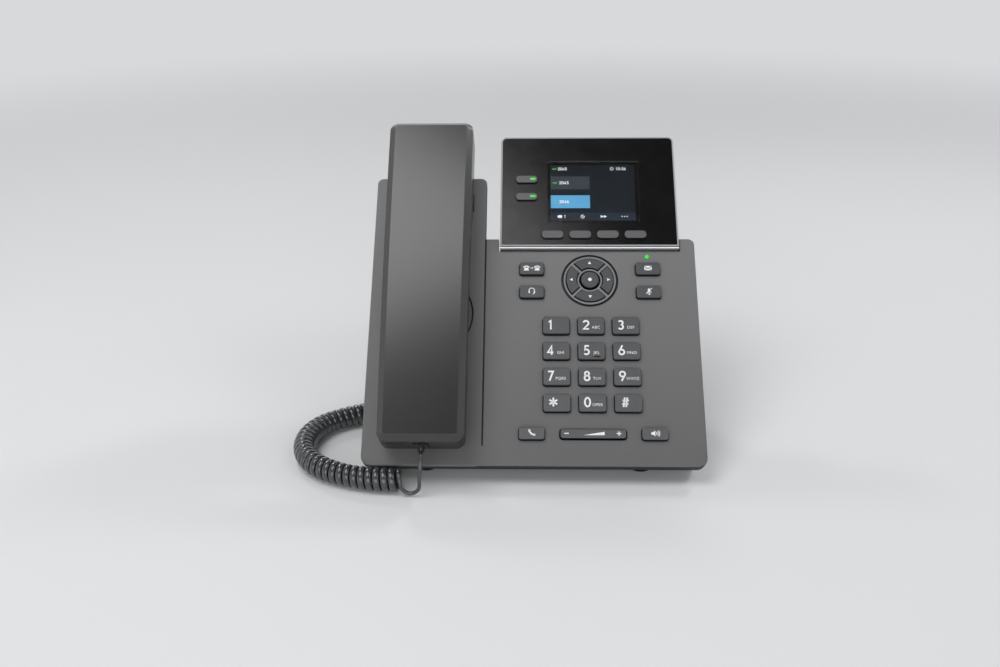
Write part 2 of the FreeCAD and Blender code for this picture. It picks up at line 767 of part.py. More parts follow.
def make_rear_housing():
    """The back shell, flat over the front feet, with the port box on its back."""
    shell = new_body("rear_housing")
    outline = sketch_on(shell, w="place.back_level")
    draw_outline(outline, face_outline("size.rear_inset", "size.rear_corner", "size.rear_corner"))
    pad(shell, outline, "size.rear_depth")
    # The port box: a wedge with an upright back wall and a level floor
    back_v = f"((size.port_back + place.back_level * sin(size.tilt)) / cos(size.tilt))"
    floor_v = f"((size.port_floor - size.face_lift - place.back_level * cos(size.tilt)) / sin(size.tilt))"
    wedge = sketch_on(shell, "YZ_Plane", w="-size.port_left")
    heel = (face_v("size.port_back", "size.port_floor"), face_w("size.port_back", "size.port_floor"), None)
    draw_outline(wedge, [(floor_v, "place.back_inner", None), (floor_v, "place.back_level", None), heel,
                         (back_v, "place.back_level", None), (back_v, "place.back_inner", None)])
    pad(shell, wedge, "size.port_left + size.port_right")
    hollow = sketch_on(shell, w="-size.front_depth")
    inset = "(size.rear_inset + size.rear_wall)"
    draw_outline(hollow, face_outline(inset, None, None))
    pocket(shell, hollow, "size.rear_depth - size.rear_wall")
    room = sketch_on(shell, "YZ_Plane", w="size.rear_wall - size.port_left")
    inner_back, inner_floor = "place.port_inner_back", "place.port_inner_floor"
    ceiling = "place.back_inner + size.rear_wall"
    top_v = f"((place.port_inner_back + ({ceiling}) * sin(size.tilt)) / cos(size.tilt))"
    front_v = f"((place.port_inner_floor - size.face_lift - ({ceiling}) * cos(size.tilt)) / sin(size.tilt))"
    heel = (face_v(inner_back, inner_floor), face_w(inner_back, inner_floor), None)
    draw_outline(room, [(front_v, ceiling, None), heel, (top_v, ceiling, None)])
    pocket(shell, room, "size.port_left + size.port_right - 2 * size.rear_wall", forward=True)
    # The level base over the front feet, with its own wall
    side = "place.face_half - size.rear_inset"
    slab = sketch_on(shell, "YZ_Plane", w=f"size.rear_wall / 2 - ({side})")
    draw_outline(slab, [
        ("size.rear_inset", base_level("size.rear_inset"), None),
        (base_place("place.back_level"), "place.back_level", None),
        (base_place("place.back_level", "size.rear_wall"), "place.back_level", None),
        ("size.rear_inset", base_level("size.rear_inset", "size.rear_wall"), None),
    ])
    pad(shell, slab, f"2 * ({side}) - size.rear_wall")
    under = sketch_on(shell, "YZ_Plane", w="-place.face_half")
    low, far = "-size.front_depth", base_place("2 * place.back_level")
    draw_outline(under, [(low, base_level(low), None), (low, "2 * place.back_level", None),
                         (far, "2 * place.back_level", None)])
    pocket(shell, under, "2 * place.face_half", forward=True)
    # Bosses for the screws, sunk from the back
    seats = [(u, v, "-size.boss_meet", "size.boss_floor") for u, v in screw_spots()]
    seats += [(u, v, "place.neck_low", "size.neck_screw_seat + place.neck_low") for u, v in neck_screw_spots()]
    for u, v, top, floor in seats:
        boss = sketch_on(shell, u=u, v=v, w="place.back_level + size.rear_wall / 2")
        draw_circle(boss, "size.boss_radius")
        pad(shell, boss, f"{top} - place.back_level - size.rear_wall / 2")
        sink = sketch_on(shell, u=u, v=v, w="place.back_level")
        draw_circle(sink, "size.screw_head_radius + size.screw_play")
        pocket(shell, sink, f"{top} - ({floor}) - place.back_level", forward=True)
        hole = sketch_on(shell, u=u, v=v, w=top)
        draw_circle(hole, "size.screw_radius + size.screw_play")
        pocket(shell, hole, floor)
    # Posts under the main board
    for u, v in board_post_spots():
        post = sketch_on(shell, u=u, v=v, w="place.back_level + size.rear_wall / 2")
        draw_circle(post, "size.board_post_radius")
        pad(shell, post, "place.board_low - place.back_level - size.rear_wall / 2")
    # Room for the screen head and its neck in the top wall
    left, right = "place.display_left - size.display_play", "place.display_right + size.display_play"
    head = sketch_on(shell, w="-size.front_depth")
    draw_box(head, left, right, "place.display_low - size.display_play", "place.panel_length")
    pocket(shell, head, "size.display_play - place.cover_low - size.front_depth")
    neck = sketch_on(shell, w="-size.front_depth")
    half = "(size.neck_width / 2 + size.display_play)"
    low = "place.panel_length - size.rear_inset - 2 * size.rear_wall"
    draw_box(neck, f"place.panel_u - {half}", f"place.panel_u + {half}", low, "place.panel_length")
    pocket(shell, neck, "size.display_play - place.neck_low - size.front_depth")
    # Openings in the port box for the sockets
    wall = "2 * size.rear_wall"
    for u, kind in jack_spots():
        width, height = f"size.{kind}_socket_width", f"size.{kind}_socket_height"
        low = "place.jack_floor + size.socket_sill"
        left = f"{u} - {width} / 2"
        cut_desk_box(shell, left, width, f"size.port_back - {wall}", f"size.port_back + {wall}", low, f"{low} + {height}")
    return shell


def jack_spots():
    """Each socket in the port box: its place across and its kind."""
    spots = [(f"size.cord_jack_first + {k} * size.cord_jack_pitch", "cord") for k in (0, 1)]
    return spots + [(f"size.net_jack_first + {k} * size.net_jack_pitch", "net") for k in (0, 1)]


def board_edges():
    """The main board's left, right, low and high edges."""
    half = "(size.side_key_reach + size.side_key_width / 2 + size.board_margin)"
    low = "size.bottom_margin - size.board_margin"
    return f"place.panel_u - {half}", f"place.panel_u + {half}", low, "place.display_low - 2 * size.display_play"


def board_post_spots():
    left, right, low, high = board_edges()
    inset = "size.board_post_inset"
    return [(u, v) for u in (f"{left} + {inset}", f"{right} - {inset}")
            for v in (f"{low} + 2 * {inset}", f"{high} - 2 * {inset}")]


def make_boards():
    """The main board with the rubber key mat on it."""
    board = new_body("main_board")
    outline = sketch_on(board, w="place.board_low")
    draw_box(outline, *board_edges(), "size.key_corner")
    pad(board, outline, "size.board_thickness")
    mat = new_body("key_mat")
    outline = sketch_on(mat, w="place.board_top")
    left, right, low, high = board_edges()
    draw_box(outline, f"{left} + size.mat_thickness", f"{right} - size.mat_thickness",
             f"{low} + size.mat_thickness", f"{high} - size.mat_thickness", "size.key_corner")
    pad(mat, outline, "size.mat_thickness")
    return [board, mat]


def make_key(label, u, v, width, height, screen=False):
    """A key: a cap through the face, a flange that keeps it in and a stem over its switch."""
    key = new_body(label)
    names = ["corner", "edge", "lip"]
    corner, edge, lip = [f"size.{'screen_' if screen else ''}key_{name}" for name in names]
    flange_top = "place.screen_flange_top" if screen else "place.flange_top"
    flange_low = "place.screen_flange_low" if screen else "place.flange_low"
    stem_low = "place.screen_stem_low" if screen else "place.stem_low"
    top = "place.plate_top + size.screen_key_rise" if screen else "size.key_rise"
    cap = sketch_on(key, u=u, v=v, w=flange_top)
    draw_centred(cap, width, height, corner)
    pad(key, cap, f"{top} - {flange_top}")
    round_edges(key, lies_at(top), edge)
    flange = sketch_on(key, u=u, v=v, w=flange_low)
    draw_centred(flange, f"{width} + 2 * {lip}", f"{height} + 2 * {lip}", f"{corner} + {lip}")
    pad(key, flange, f"{flange_top} - {flange_low}")
    stem = sketch_on(key, u=u, v=v, w=stem_low)
    draw_centred(stem, "size.key_stem_width", "size.key_stem_height")
    pad(key, stem, f"{flange_low} - {stem_low}")
    return key


def make_volume_rocker():
    """A bar that rocks on two short pins under the face."""
    rocker = new_body("volume_rocker")
    spot = {"u": "place.panel_u", "v": "place.bottom_row_v"}
    bar = sketch_on(rocker, w="-size.volume_depth", **spot)
    draw_centred(bar, "size.volume_length", "size.volume_height", "size.key_corner")
    pad(rocker, bar, "size.volume_depth + size.volume_rise")
    round_edges(rocker, lies_at("size.volume_rise"), "size.key_edge")
    hub = sketch_on(rocker, w="-size.volume_axis_depth - size.volume_pin_radius", **spot)
    draw_centred(hub, "size.volume_hub", "size.volume_height")
    pad(rocker, hub, "size.volume_axis_depth + size.volume_pin_radius - size.volume_depth")
    reach = "(size.volume_height / 2 + size.volume_pin_lip)"
    pin = sketch_on(rocker, "XZ_Plane", u="place.panel_u", v="-size.volume_axis_depth",
                    w=f"-place.bottom_row_v - {reach}")
    draw_circle(pin, "size.volume_pin_radius")
    pad(rocker, pin, f"2 * {reach}")
    return rocker


def make_message_light():
    light = new_body("message_light")
    spot = {"u": "place.panel_u + size.side_key_reach", "v": "place.light_v"}
    pipe = sketch_on(light, w="-size.front_skin", **spot)
    draw_circle(pipe, "size.light_radius")
    pad(light, pipe, "size.front_skin + size.light_rise")
    flange = sketch_on(light, w="-size.front_skin - size.light_flange", **spot)
    draw_circle(flange, "size.light_radius + size.light_lip")
    pad(light, flange, "size.light_flange")
    return light


def make_nav_ring():
    """The bezel of the navigation cluster: a rim, a hub and four spokes between the keys."""
    ring = new_body("nav_ring")
    spot = {"u": "place.panel_u", "v": "place.nav_v"}
    low = "-size.front_skin"
    seat = sketch_on(ring, w=low, **spot)
    draw_circle(seat, "size.nav_radius - size.nav_seat_play")
    draw_circle(seat, "size.nav_rim_inner")
    pad(ring, seat, "size.front_skin - size.nav_moat")
    rim = sketch_on(ring, w=low, **spot)
    draw_circle(rim, "size.nav_rim_outer")
    draw_circle(rim, "size.nav_rim_inner")
    pad(ring, rim, "size.front_skin + size.nav_rim_rise")
    flange = sketch_on(ring, w=f"{low} - size.nav_flange", **spot)
    draw_circle(flange, "size.nav_radius + size.nav_flange_lip")
    draw_circle(flange, "size.nav_rim_inner")
    pad(ring, flange, "size.nav_flange")
    height = "size.front_skin + size.nav_flange + size.nav_rim_rise"
    hub = sketch_on(ring, w=f"{low} - size.nav_flange", **spot)
    draw_circle(hub, "size.nav_hub_outer")
    draw_circle(hub, "size.nav_hub_inner")
    wide = "size.spoke_width / 2"
    inner, outer = "(size.nav_hub_inner + size.nav_hub_outer) / 2", "(size.nav_rim_inner + size.nav_rim_outer) / 2"
    for turn in (45, 135, 225, 315):
        spoke = sketch_on(ring, w=f"{low} - size.nav_flange", turn=turn, **spot)
        draw_box(spoke, inner, outer, f"-{wide}", wide)
        pad(ring, spoke, height)
    pad(ring, hub, height)
    return ring


def make_nav_key(label, turn):
    """One quarter of the cluster, drawn as the upper one about the origin and turned to its side."""
    key = new_body(label)
    inner, outer = "size.nav_hub_outer + size.nav_play", "size.nav_rim_inner - size.nav_play"
    gap = "size.spoke_width / 2 + size.nav_play"
    cap = sketch_on(key, w="place.nav_flange_top")
    draw_sector(cap, inner, outer, gap)
    pad(key, cap, "size.nav_rise - place.nav_flange_top")
    round_edges(key, lies_at("size.nav_rise"), "size.nav_edge")
    flange = sketch_on(key, w="place.nav_flange_top - size.key_flange")
    lip = "size.nav_lip"
    draw_sector(flange, f"{inner} - {lip} / 2", f"{outer} + {lip}", f"{gap} - {lip} / 2")
    pad(key, flange, "size.key_flange")
    centre = Vector(number("place.panel_u"), number("place.nav_v"), 0)
    key.Placement = FreeCAD.Placement(centre, FreeCAD.Rotation(Vector(0, 0, 1), turn))
    return key


def make_nav_ok():
    key = new_body("nav_ok")
    spot = {"u": "place.panel_u", "v": "place.nav_v"}
    cap = sketch_on(key, w="place.nav_flange_top", **spot)
    draw_circle(cap, "size.ok_radius")
    pad(key, cap, "size.ok_rise - place.nav_flange_top")
    round_edges(key, lies_at("size.ok_rise"), "size.nav_edge")
    flange = sketch_on(key, w="place.nav_flange_top - size.key_flange", **spot)
    draw_circle(flange, "size.nav_hub_inner + size.ok_lip")
    pad(key, flange, "size.key_flange")
    return key


# The screen head


def head_box(inset):
    """The screen head's left, right, low and high edges, drawn in by an inset."""
    left, right = f"place.display_left + {inset}", f"place.display_right - {inset}"
    return left, right, f"place.frame_low + {inset}", f"place.display_top - {inset}"


def draw_head(sketch, inset, radius):
    """The screen head's outline, with round corners at its top only."""
    left, right, low, high = head_box(inset)
    draw_outline(sketch, [(left, low, None), (right, low, None), (right, high, radius), (left, high, radius)])


def make_display_frame():
    frame = new_body("display_frame")
    outline = sketch_on(frame, w="-size.display_depth")
    draw_head(outline, "0", "size.display_corner")
    pad(frame, outline, "size.display_depth + size.display_rise")
    round_edges(frame, lies_at("size.display_rise"), "size.display_edge")
    rebate = sketch_on(frame, w="size.display_rise")
    draw_head(rebate, "size.frame_rim", "size.display_corner - size.frame_rim")
    pocket(frame, rebate, "size.display_rise - place.plate_low")
    opening = sketch_on(frame, w="size.display_rise")
    draw_box(opening, *head_box("(size.frame_rim + size.frame_ledge)"))
    pocket(frame, opening, "size.display_depth + size.display_rise")
    return frame


def make_display_trim():
    """The bright strip along the lower edge of the screen head."""
    trim = new_body("display_trim")
    outline = sketch_on(trim, w="place.plate_top - size.trim_depth")
    draw_box(outline, "place.display_left", "place.display_right", "place.display_low", "place.frame_low")
    pad(trim, outline, "size.trim_depth")
    round_edges(trim, lies_at("place.plate_top"), "size.display_edge / 2")
    return trim


def make_faceplate():
    plate = new_body("faceplate")
    outline = sketch_on(plate, w="place.plate_low")
    draw_head(outline, "(size.frame_rim + size.faceplate_play)", "size.display_corner - size.frame_rim")
    pad(plate, outline, "size.faceplate_thickness")
    lens_seat = sketch_on(plate, u="place.lcd_u", v="place.lcd_v", w="place.plate_top")
    margin = "2 * (size.window_margin + size.lens_lip)"
    draw_centred(lens_seat, f"size.lcd_width + {margin}", f"size.lcd_height + {margin}")
    pocket(plate, lens_seat, "size.lens_thickness")
    window = sketch_on(plate, u="place.lcd_u", v="place.lcd_v", w="place.plate_top")
    margin = "2 * size.window_margin"
    draw_centred(window, f"size.lcd_width + {margin}", f"size.lcd_height + {margin}")
    pocket(plate, window, "size.faceplate_thickness")
    for _, u, v, width, height in screen_key_spots():
        hole = sketch_on(plate, u=u, v=v, w="place.plate_top")
        room = "2 * size.key_play"
        draw_centred(hole, f"{width} + {room}", f"{height} + {room}", "size.screen_key_corner + size.key_play")
        pocket(plate, hole, "size.faceplate_thickness")
    return plate


def make_screen():
    """The clear lens, the screen panel behind it and the board that carries them."""
    lens = new_body("display_lens")
    outline = sketch_on(lens, u="place.lcd_u", v="place.lcd_v", w="place.plate_top - size.lens_thickness")
    margin = "2 * (size.window_margin + size.lens_lip - size.lens_play)"
    draw_centred(outline, f"size.lcd_width + {margin}", f"size.lcd_height + {margin}")
    pad(lens, outline, "size.lens_thickness")
    panel = new_body("lcd_panel")
    outline = sketch_on(panel, u="place.lcd_u", v="place.lcd_v", w="place.screen_board_top")
    draw_centred(outline, "size.lcd_width + 2 * size.lcd_border_u", "size.lcd_height + 2 * size.lcd_border_v")
    pad(panel, outline, "size.lcd_thickness")
    board = new_body("display_board")
    outline = sketch_on(board, w="place.screen_board_low")
    draw_box(outline, *head_box("(size.frame_rim + size.frame_ledge + size.display_board_play)"))
    pad(board, outline, "size.board_thickness")
    return [lens, panel, board]


def make_display_back_cover():
    """The tray that closes the screen head, with the neck that reaches into the rear housing."""
    cover = new_body("display_back_cover")
    outline = sketch_on(cover, w="place.cover_low")
    draw_head(outline, "0", "size.display_corner")
    pad(cover, outline, "size.cover_depth")
    round_edges(cover, lies_at("place.cover_low"), "size.cover_edge")
    hollow = sketch_on(cover, w="place.cover_top")
    draw_box(hollow, *head_box("(size.frame_rim + size.frame_ledge)"))
    pocket(cover, hollow, "size.cover_depth - size.cover_wall")
    left, right, low, high = head_box("size.cover_post_inset")
    for u in (left, right):
        for v in (low, high):
            post = sketch_on(cover, u=u, v=v, w="place.cover_floor - size.cover_wall / 2")
            draw_circle(post, "size.cover_post_radius")
            pad(cover, post, "place.screen_board_low - place.cover_floor + size.cover_wall / 2")
    neck = sketch_on(cover, w="place.neck_low")
    half = "size.neck_width / 2"
    draw_box(neck, f"place.panel_u - {half}", f"place.panel_u + {half}",
             "place.display_low - size.neck_reach", "place.display_low + size.neck_lap", "size.cover_edge")
    pad(cover, neck, "size.neck_depth + size.cover_edge / 2")
    for u, v in neck_screw_spots():
        pilot = sketch_on(cover, u=u, v=v, w="place.neck_low")
        draw_circle(pilot, "size.screw_radius")
        pocket(cover, pilot, "size.neck_depth", forward=True)
    return cover


# Pieces inside the body


def make_loudspeaker():
    speaker = new_body("loudspeaker")
    spot = {"u": "place.handset_u", "v": "size.speaker_v"}
    steps = [
        ("size.speaker_radius", "size.speaker_rim"),
        ("size.speaker_cone_radius", "size.speaker_rim + size.speaker_cone_depth"),
        ("size.speaker_magnet_radius", "size.speaker_rim + size.speaker_cone_depth + size.speaker_magnet_depth"),
    ]
    for radius, depth in steps:
        disc = sketch_on(speaker, w="-size.front_skin", **spot)
        draw_circle(disc, radius)
        pad(speaker, disc, depth, backward=True)
    return speaker


def make_hook_switch():
    """The tab that the handset holds down."""
    hook = new_body("hook_switch")
    spot = {"u": "place.hook_u", "v": "size.hook_v"}
    low = "place.tub_low - size.hook_travel - size.key_gap - size.hook_flange"
    tab = sketch_on(hook, w=low, **spot)
    draw_centred(tab, "size.hook_width", "size.hook_length")
    pad(hook, tab, f"size.hook_rise - ({low})")
    round_edges(hook, lies_at("size.hook_rise"), "size.hook_play")
    flange = sketch_on(hook, w=low, **spot)
    draw_centred(flange, "size.hook_width + 2 * size.hook_lip", "size.hook_length + 2 * size.hook_lip")
    pad(hook, flange, "size.hook_flange")
    return hook


def add_box(name, length, width, height, x, y, z):
    """A block in the desk frame, from its lowest corner."""
    box = doc.addObject("Part::Box", name)
    sizes = {"Length": length, "Width": width, "Height": height}
    places = {"Placement.Base.x": x, "Placement.Base.y": y, "Placement.Base.z": z}
    for bound, expression in {**sizes, **places}.items():
        box.setExpression(bound, expression)
    return box


def add_cylinder(name, radius, height, x, y, z):
    cylinder = doc.addObject("Part::Cylinder", name)
    sizes = {"Radius": radius, "Height": height}
    places = {"Placement.Base.x": x, "Placement.Base.y": y, "Placement.Base.z": z}
    for bound, expression in {**sizes, **places}.items():
        cylinder.setExpression(bound, expression)
    return cylinder


def add_cut(name, base, tool):
    cut = doc.addObject("Part::Cut", name)
    cut.Base = base
    cut.Tool = tool
    return cut


def add_group(label, pieces):
    """Several separate solids in one node."""
    group = doc.addObject("Part::Compound", label)
    group.Label = label
    group.Links = pieces
    doc.recompute()
    return group


def make_jacks():
    """The sockets in the port box and the board that they stand on."""
    board = new_body("port_board")
    outline = sketch_on(board, w="place.port_inner_floor")
    left, right = "size.rear_wall - size.port_left", "size.port_right - size.rear_wall"
    draw_box(outline, left, right, "place.port_inner_back - size.port_board_depth", "place.port_inner_back")
    pad(board, outline, "size.board_thickness")
    jacks = {"cord": [], "net": []}
    for u, kind in jack_spots():
        part = f"size.{kind}_jack_"
        left = f"{u} - {part}width / 2"
        front = f"place.port_inner_back - {part}depth"
        block = add_box(f"{kind}_jack_block", part + "width", part + "depth", part + "height",
                        left, front, "place.jack_floor")
        socket = f"size.{kind}_socket_"
        mouth = add_box(f"{kind}_jack_mouth", socket + "width", f"{socket}depth + size.rear_wall", socket + "height",
                        f"{u} - {socket}width / 2", f"place.port_inner_back - {socket}depth",
                        "place.jack_floor + size.socket_sill")
        jacks[kind].append(add_cut(f"{kind}_jack", block, mouth))
    return [board, add_group("cord_jacks", jacks["cord"]), add_group("network_jacks", jacks["net"])]


def make_housing_screws():
    """Four screws that join the housings and two that hold the neck of the screen head."""
    screws = []
    seats = [(u, v, "-size.boss_meet - size.boss_floor", "size.screw_length") for u, v in screw_spots()]
    seats += [(u, v, "-size.neck_screw_seat", "size.neck_screw_length") for u, v in neck_screw_spots()]
    for u, v, seat, length in seats:
        head = add_cylinder("screw_head", "size.screw_head_radius", "size.screw_head_height",
                            u, v, f"{seat} - size.screw_head_height")
        shank = add_cylinder("screw_shank", "size.screw_radius", length, u, v, seat)
        screw = doc.addObject("Part::Fuse", "screw")
        screw.Base = head
        screw.Tool = shank
        screws.append(screw)
    return add_group("housing_screws", screws)


def make_rubber_feet():
    """Two feet under the front edge and two under the stand."""
    feet = []
    for sign in ("-", ""):
        x = f"{sign}(place.face_half - size.front_foot_inset)"
        feet.append(add_cylinder("front_foot", "size.foot_radius", "size.foot_height", x, "size.front_foot_y", "0"))
        x = f"{sign}(size.stand_width / 2 - size.stand_foot_inset)"
        y = "size.stand_foot_y + size.stand_foot_length / 2"
        feet.append(add_cylinder("stand_foot", "size.stand_foot_radius", "size.foot_height", x, y, "0"))
    return add_group("rubber_feet", feet)


def make_desk_stand():
    """The clip-on support: a plate on the back, two tapered sides, a back web and a foot."""
    stand = new_body("desk_stand")
    left, width = "-size.stand_width / 2", "size.stand_width"
    front = ("place.stand_front_y", "place.stand_front_z", None)
    top = ("place.stand_top_y", "place.stand_top_z", None)
    heel = ("place.stand_back_y", "place.stand_floor", None)
    toe = ("size.stand_foot_y", "place.stand_floor", None)
    block = sketch_on(stand, "YZ_Plane", w=left)
    draw_outline(block, [front, toe, heel, top])
    pad(stand, block, width)
    foot = sketch_on(stand, "YZ_Plane", w=left)
    draw_box(foot, "size.stand_foot_y", "place.stand_back_y", "size.foot_height", "place.stand_floor")
    pad(stand, foot, width)
    # Hollow between the sides, the plate on the back and the web
    plate = "size.stand_plate"
    inner_w = f"place.back_level - {plate}"
    lean = "(place.stand_back_y - place.stand_top_y) / (place.stand_top_z - place.stand_floor)"
    web_y = f"place.stand_back_y - {plate} * sqrt(1 + ({lean})^2)"
    top_w_v = f"size.stand_high_v - {plate}"
    low_v = "size.stand_low_v - size.stand_plate"
    hollow = sketch_on(stand, "YZ_Plane", w=f"{left} + {plate}")
    draw_outline(hollow, [
        (desk_y(low_v, inner_w), desk_z(low_v, inner_w), None),
        (f"size.stand_foot_y - {plate}", f"place.stand_floor", None),
        (web_y, "place.stand_floor", None),
        (desk_y(top_w_v, inner_w), desk_z(top_w_v, inner_w), None),
    ])
    pocket(stand, hollow, f"{width} - 2 * {plate}", forward=True)
    # A window in the web for the cables
    window = sketch_on(stand, "XZ_Plane", w="-2 * place.stand_back_y")
    half = "size.stand_window_width / 2"
    draw_box(window, f"-{half}", half, "size.stand_window_low", "size.stand_window_high", plate)
    pocket(stand, window, "2 * place.stand_back_y - place.stand_top_y", forward=True)
    return stand


# The handset


def draw_handset(sketch, inset="0", radius="size.handset_corner"):
    """The handset's outline, a little wider at its ear end."""
    foot = f"(size.handset_foot_width / 2 - {inset})"
    head = f"(size.handset_top_width / 2 - {inset})"
    low, high = f"size.handset_base + {inset}", f"place.handset_end - {inset}"
    draw_outline(sketch, [
        (f"place.handset_u - {foot}", low, radius),
        (f"place.handset_u + {foot}", low, radius),
        (f"place.handset_u + {head}", high, radius),
        (f"place.handset_u - {head}", high, radius),
    ])


def handset_arch(drop, low_v, high_v):
    """The bowed top line of the handset from its low end to its high end, lowered by a drop."""
    rise = "(size.handset_crest - size.handset_low_crest) / (size.handset_crest_v - size.handset_base)"
    fall = "(size.handset_crest - size.handset_high_crest) / (place.handset_end - size.handset_crest_v)"
    low = f"size.handset_crest - {drop} - ({rise}) * (size.handset_crest_v - ({low_v}))"
    high = f"size.handset_crest - {drop} - ({fall}) * (({high_v}) - size.handset_crest_v)"
    crest = ("size.handset_crest_v", f"size.handset_crest - {drop}", "size.handset_bow")
    return [(low_v, low, None), crest, (high_v, high, None)]


def make_handset_back_shell():
    """The outer half: a bowed back with a bevel all round."""
    shell = new_body("handset_back_shell")
    outline = sketch_on(shell, w="size.handset_split")
    draw_handset(outline)
    pad(shell, outline, "size.handset_crest")
    wide = "place.handset_width"
    above = sketch_on(shell, "YZ_Plane", w=f"place.handset_u - {wide}")
    roof = "size.handset_split + 2 * size.handset_crest"
    low_v, high_v = "size.handset_base - size.handset_corner", "place.handset_end + size.handset_corner"
    draw_outline(above, [(low_v, roof, None)] + handset_arch("0", low_v, high_v) + [(high_v, roof, None)])
    pocket(shell, above, f"2 * {wide}", forward=True)
    split = number("size.handset_split")
    tops = [face for face in shell.Shape.Faces if face.normalAt(*middle(face)).z > 0.9]

    def on_rim(edge):
        """True for an edge between the bowed top and the sides."""
        beside = [face for face in tops if any(edge.isSame(other) for other in face.Edges)]
        return len(beside) == 1 and edge.BoundBox.ZMin > split

    round_edges(shell, on_rim, "size.handset_chamfer", "PartDesign::Chamfer", "Size")
    room = sketch_on(shell, "YZ_Plane", w="place.handset_u - size.handset_foot_width / 2 + size.handset_wall")
    low_v, high_v = "size.handset_base + size.handset_wall", "place.handset_end - size.handset_wall"
    floor = "size.handset_split - size.handset_wall"
    draw_outline(room, [(high_v, floor, None)] + handset_arch("size.handset_roof", low_v, high_v)[::-1]
                 + [(low_v, floor, None)])
    pocket(shell, room, "size.handset_foot_width - 2 * size.handset_wall", forward=True)
    return shell


def middle(face):
    """The middle of a face in its own two parameters."""
    low_s, high_s, low_t, high_t = face.ParameterRange
    return (low_s + high_s) / 2, (low_t + high_t) / 2


def make_handset_front_cover():
    """The inner half: two cupped ends with a grip between them."""
    cover = new_body("handset_front_cover")
    outline = sketch_on(cover, w="size.handset_end_level")
    draw_handset(outline)
    pad(cover, outline, "size.handset_split - size.handset_end_level")
    grip = sketch_on(cover, "YZ_Plane", w="place.handset_u - place.handset_width")
    low_v, high_v = "size.handset_base + size.handset_mouth_length", "place.handset_end - size.handset_ear_length"
    below = "size.handset_end_level - (size.handset_grip_level - size.handset_end_level)"
    draw_outline(grip, [
        (f"{low_v} - size.handset_slope", below, None),
        (f"{high_v} + size.handset_slope", below, None),
        (f"{high_v} - size.handset_slope", "size.handset_grip_level", "size.handset_slope"),
        (f"{low_v} + size.handset_slope", "size.handset_grip_level", "size.handset_slope"),
    ])
    pocket(cover, grip, "2 * place.handset_width", forward=True)
    wall = "size.handset_wall"
    ends = [
        (f"size.handset_base + {wall}", low_v),
        (high_v, f"place.handset_end - {wall}"),
    ]
    half = f"(size.handset_foot_width / 2 - {wall})"
    for low, high in ends:
        room = sketch_on(cover, w="size.handset_split")
        draw_box(room, f"place.handset_u - {half}", f"place.handset_u + {half}", low, high, wall)
        pocket(cover, room, f"size.handset_split - size.handset_end_level - {wall}")
    for cup in ("ear", "mouth"):
        spot = {"u": "place.handset_u", "v": f"size.{cup}_cup_v"}
        width, length = f"size.{cup}_cup_width", f"size.{cup}_cup_length"
        block = sketch_on(cover, w="place.cup_low", **spot)
        draw_centred(block, width, length, "size.cup_corner")
        pad(cover, block, f"size.handset_end_level - place.cup_low + {wall} / 2")
        inside = sketch_on(cover, w="size.handset_split", **spot)
        draw_centred(inside, f"{width} - 2 * {wall}", f"{length} - 2 * {wall}", f"size.cup_corner - {wall}")
        pocket(cover, inside, f"size.handset_split - place.cup_low - {wall}")
        holes = sketch_on(cover, w="place.cup_low", **spot)
        draw_rings(holes, "size.grille_hole", "size.grille_step", EAR_RINGS)
        pocket(cover, holes, wall, forward=True)
    # The rib that holds the hook switch down
    presser = sketch_on(cover, u="place.hook_u", v="size.hook_v", w="size.hook_rise + size.presser_gap")
    draw_centred(presser, "size.hook_width - 2 * size.presser_inset", "size.hook_length - 2 * size.presser_inset")
    pad(cover, presser, f"size.handset_end_level + {wall} / 2 - size.hook_rise - size.presser_gap")
    # The notch that the cord's plug sits in
    notch = sketch_on(cover, w="size.handset_split")
    half = "(size.plug_width / 2 + size.plug_play)"
    draw_box(notch, f"place.handset_u - {half}", f"place.handset_u + {half}",
             f"size.handset_base - {wall}", f"size.handset_base + 2 * {wall}")
    pocket(cover, notch, "size.handset_split - size.handset_jack_level")
    return cover


def make_capsules():
    """The earpiece and the microphone, each on the floor of its cup."""
    made = []
    for label, cup, part in [("handset_receiver", "ear", "receiver"), ("handset_mic", "mouth", "mic")]:
        capsule = new_body(label)
        disc = sketch_on(capsule, u="place.handset_u", v=f"size.{cup}_cup_v", w="place.cup_low + size.handset_wall")
        draw_circle(disc, f"size.{part}_radius")
        pad(capsule, disc, f"size.{part}_height")
        made.append(capsule)
    return made


# The cord


def make_plug(label, x, y, z):
    """A small square plug that lies along the y axis, its cord end at the lower y."""
    plug = new_body(label)
    block = sketch_on(plug, "XZ_Plane", u=x, v=z, w=f"-({y}) - size.plug_length")
    draw_centred(block, "size.plug_width", "size.plug_height", "size.key_edge")
    pad(plug, block, "size.plug_length")
    relief = sketch_on(plug, "XZ_Plane", u=x, v=z, w=f"-({y})")
    draw_circle(relief, "size.relief_radius")
    pad(plug, relief, "size.relief_length")
    return plug


def smooth_path(points):
    """Straight runs joined by the largest tangent arcs that they allow, as edges, with the arcs' radii."""
    runs = [points[i + 1] - points[i] for i in range(len(points) - 1)]
    edges, radii = [], []
    start = points[0]
    for i in range(1, len(points) - 1):
        way_in, way_out = Vector(runs[i - 1]).normalize(), Vector(runs[i]).normalize()
        turn = way_in.getAngle(way_out)
        reach = 0.45 * min(runs[i - 1].Length, runs[i].Length)
        radius = reach / math.tan(turn / 2)
        first, last = points[i] - way_in * reach, points[i] + way_out * reach
        inward = (way_out - way_in).normalize()
        centre = points[i] + inward * math.hypot(radius, reach)
        edges.append(Part.LineSegment(start, first).toShape())
        edges.append(Part.Arc(first, centre - inward * radius, last).toShape())
        radii.append(radius)
        start = last
    edges.append(Part.LineSegment(start, points[-1]).toShape())
    return edges, radii


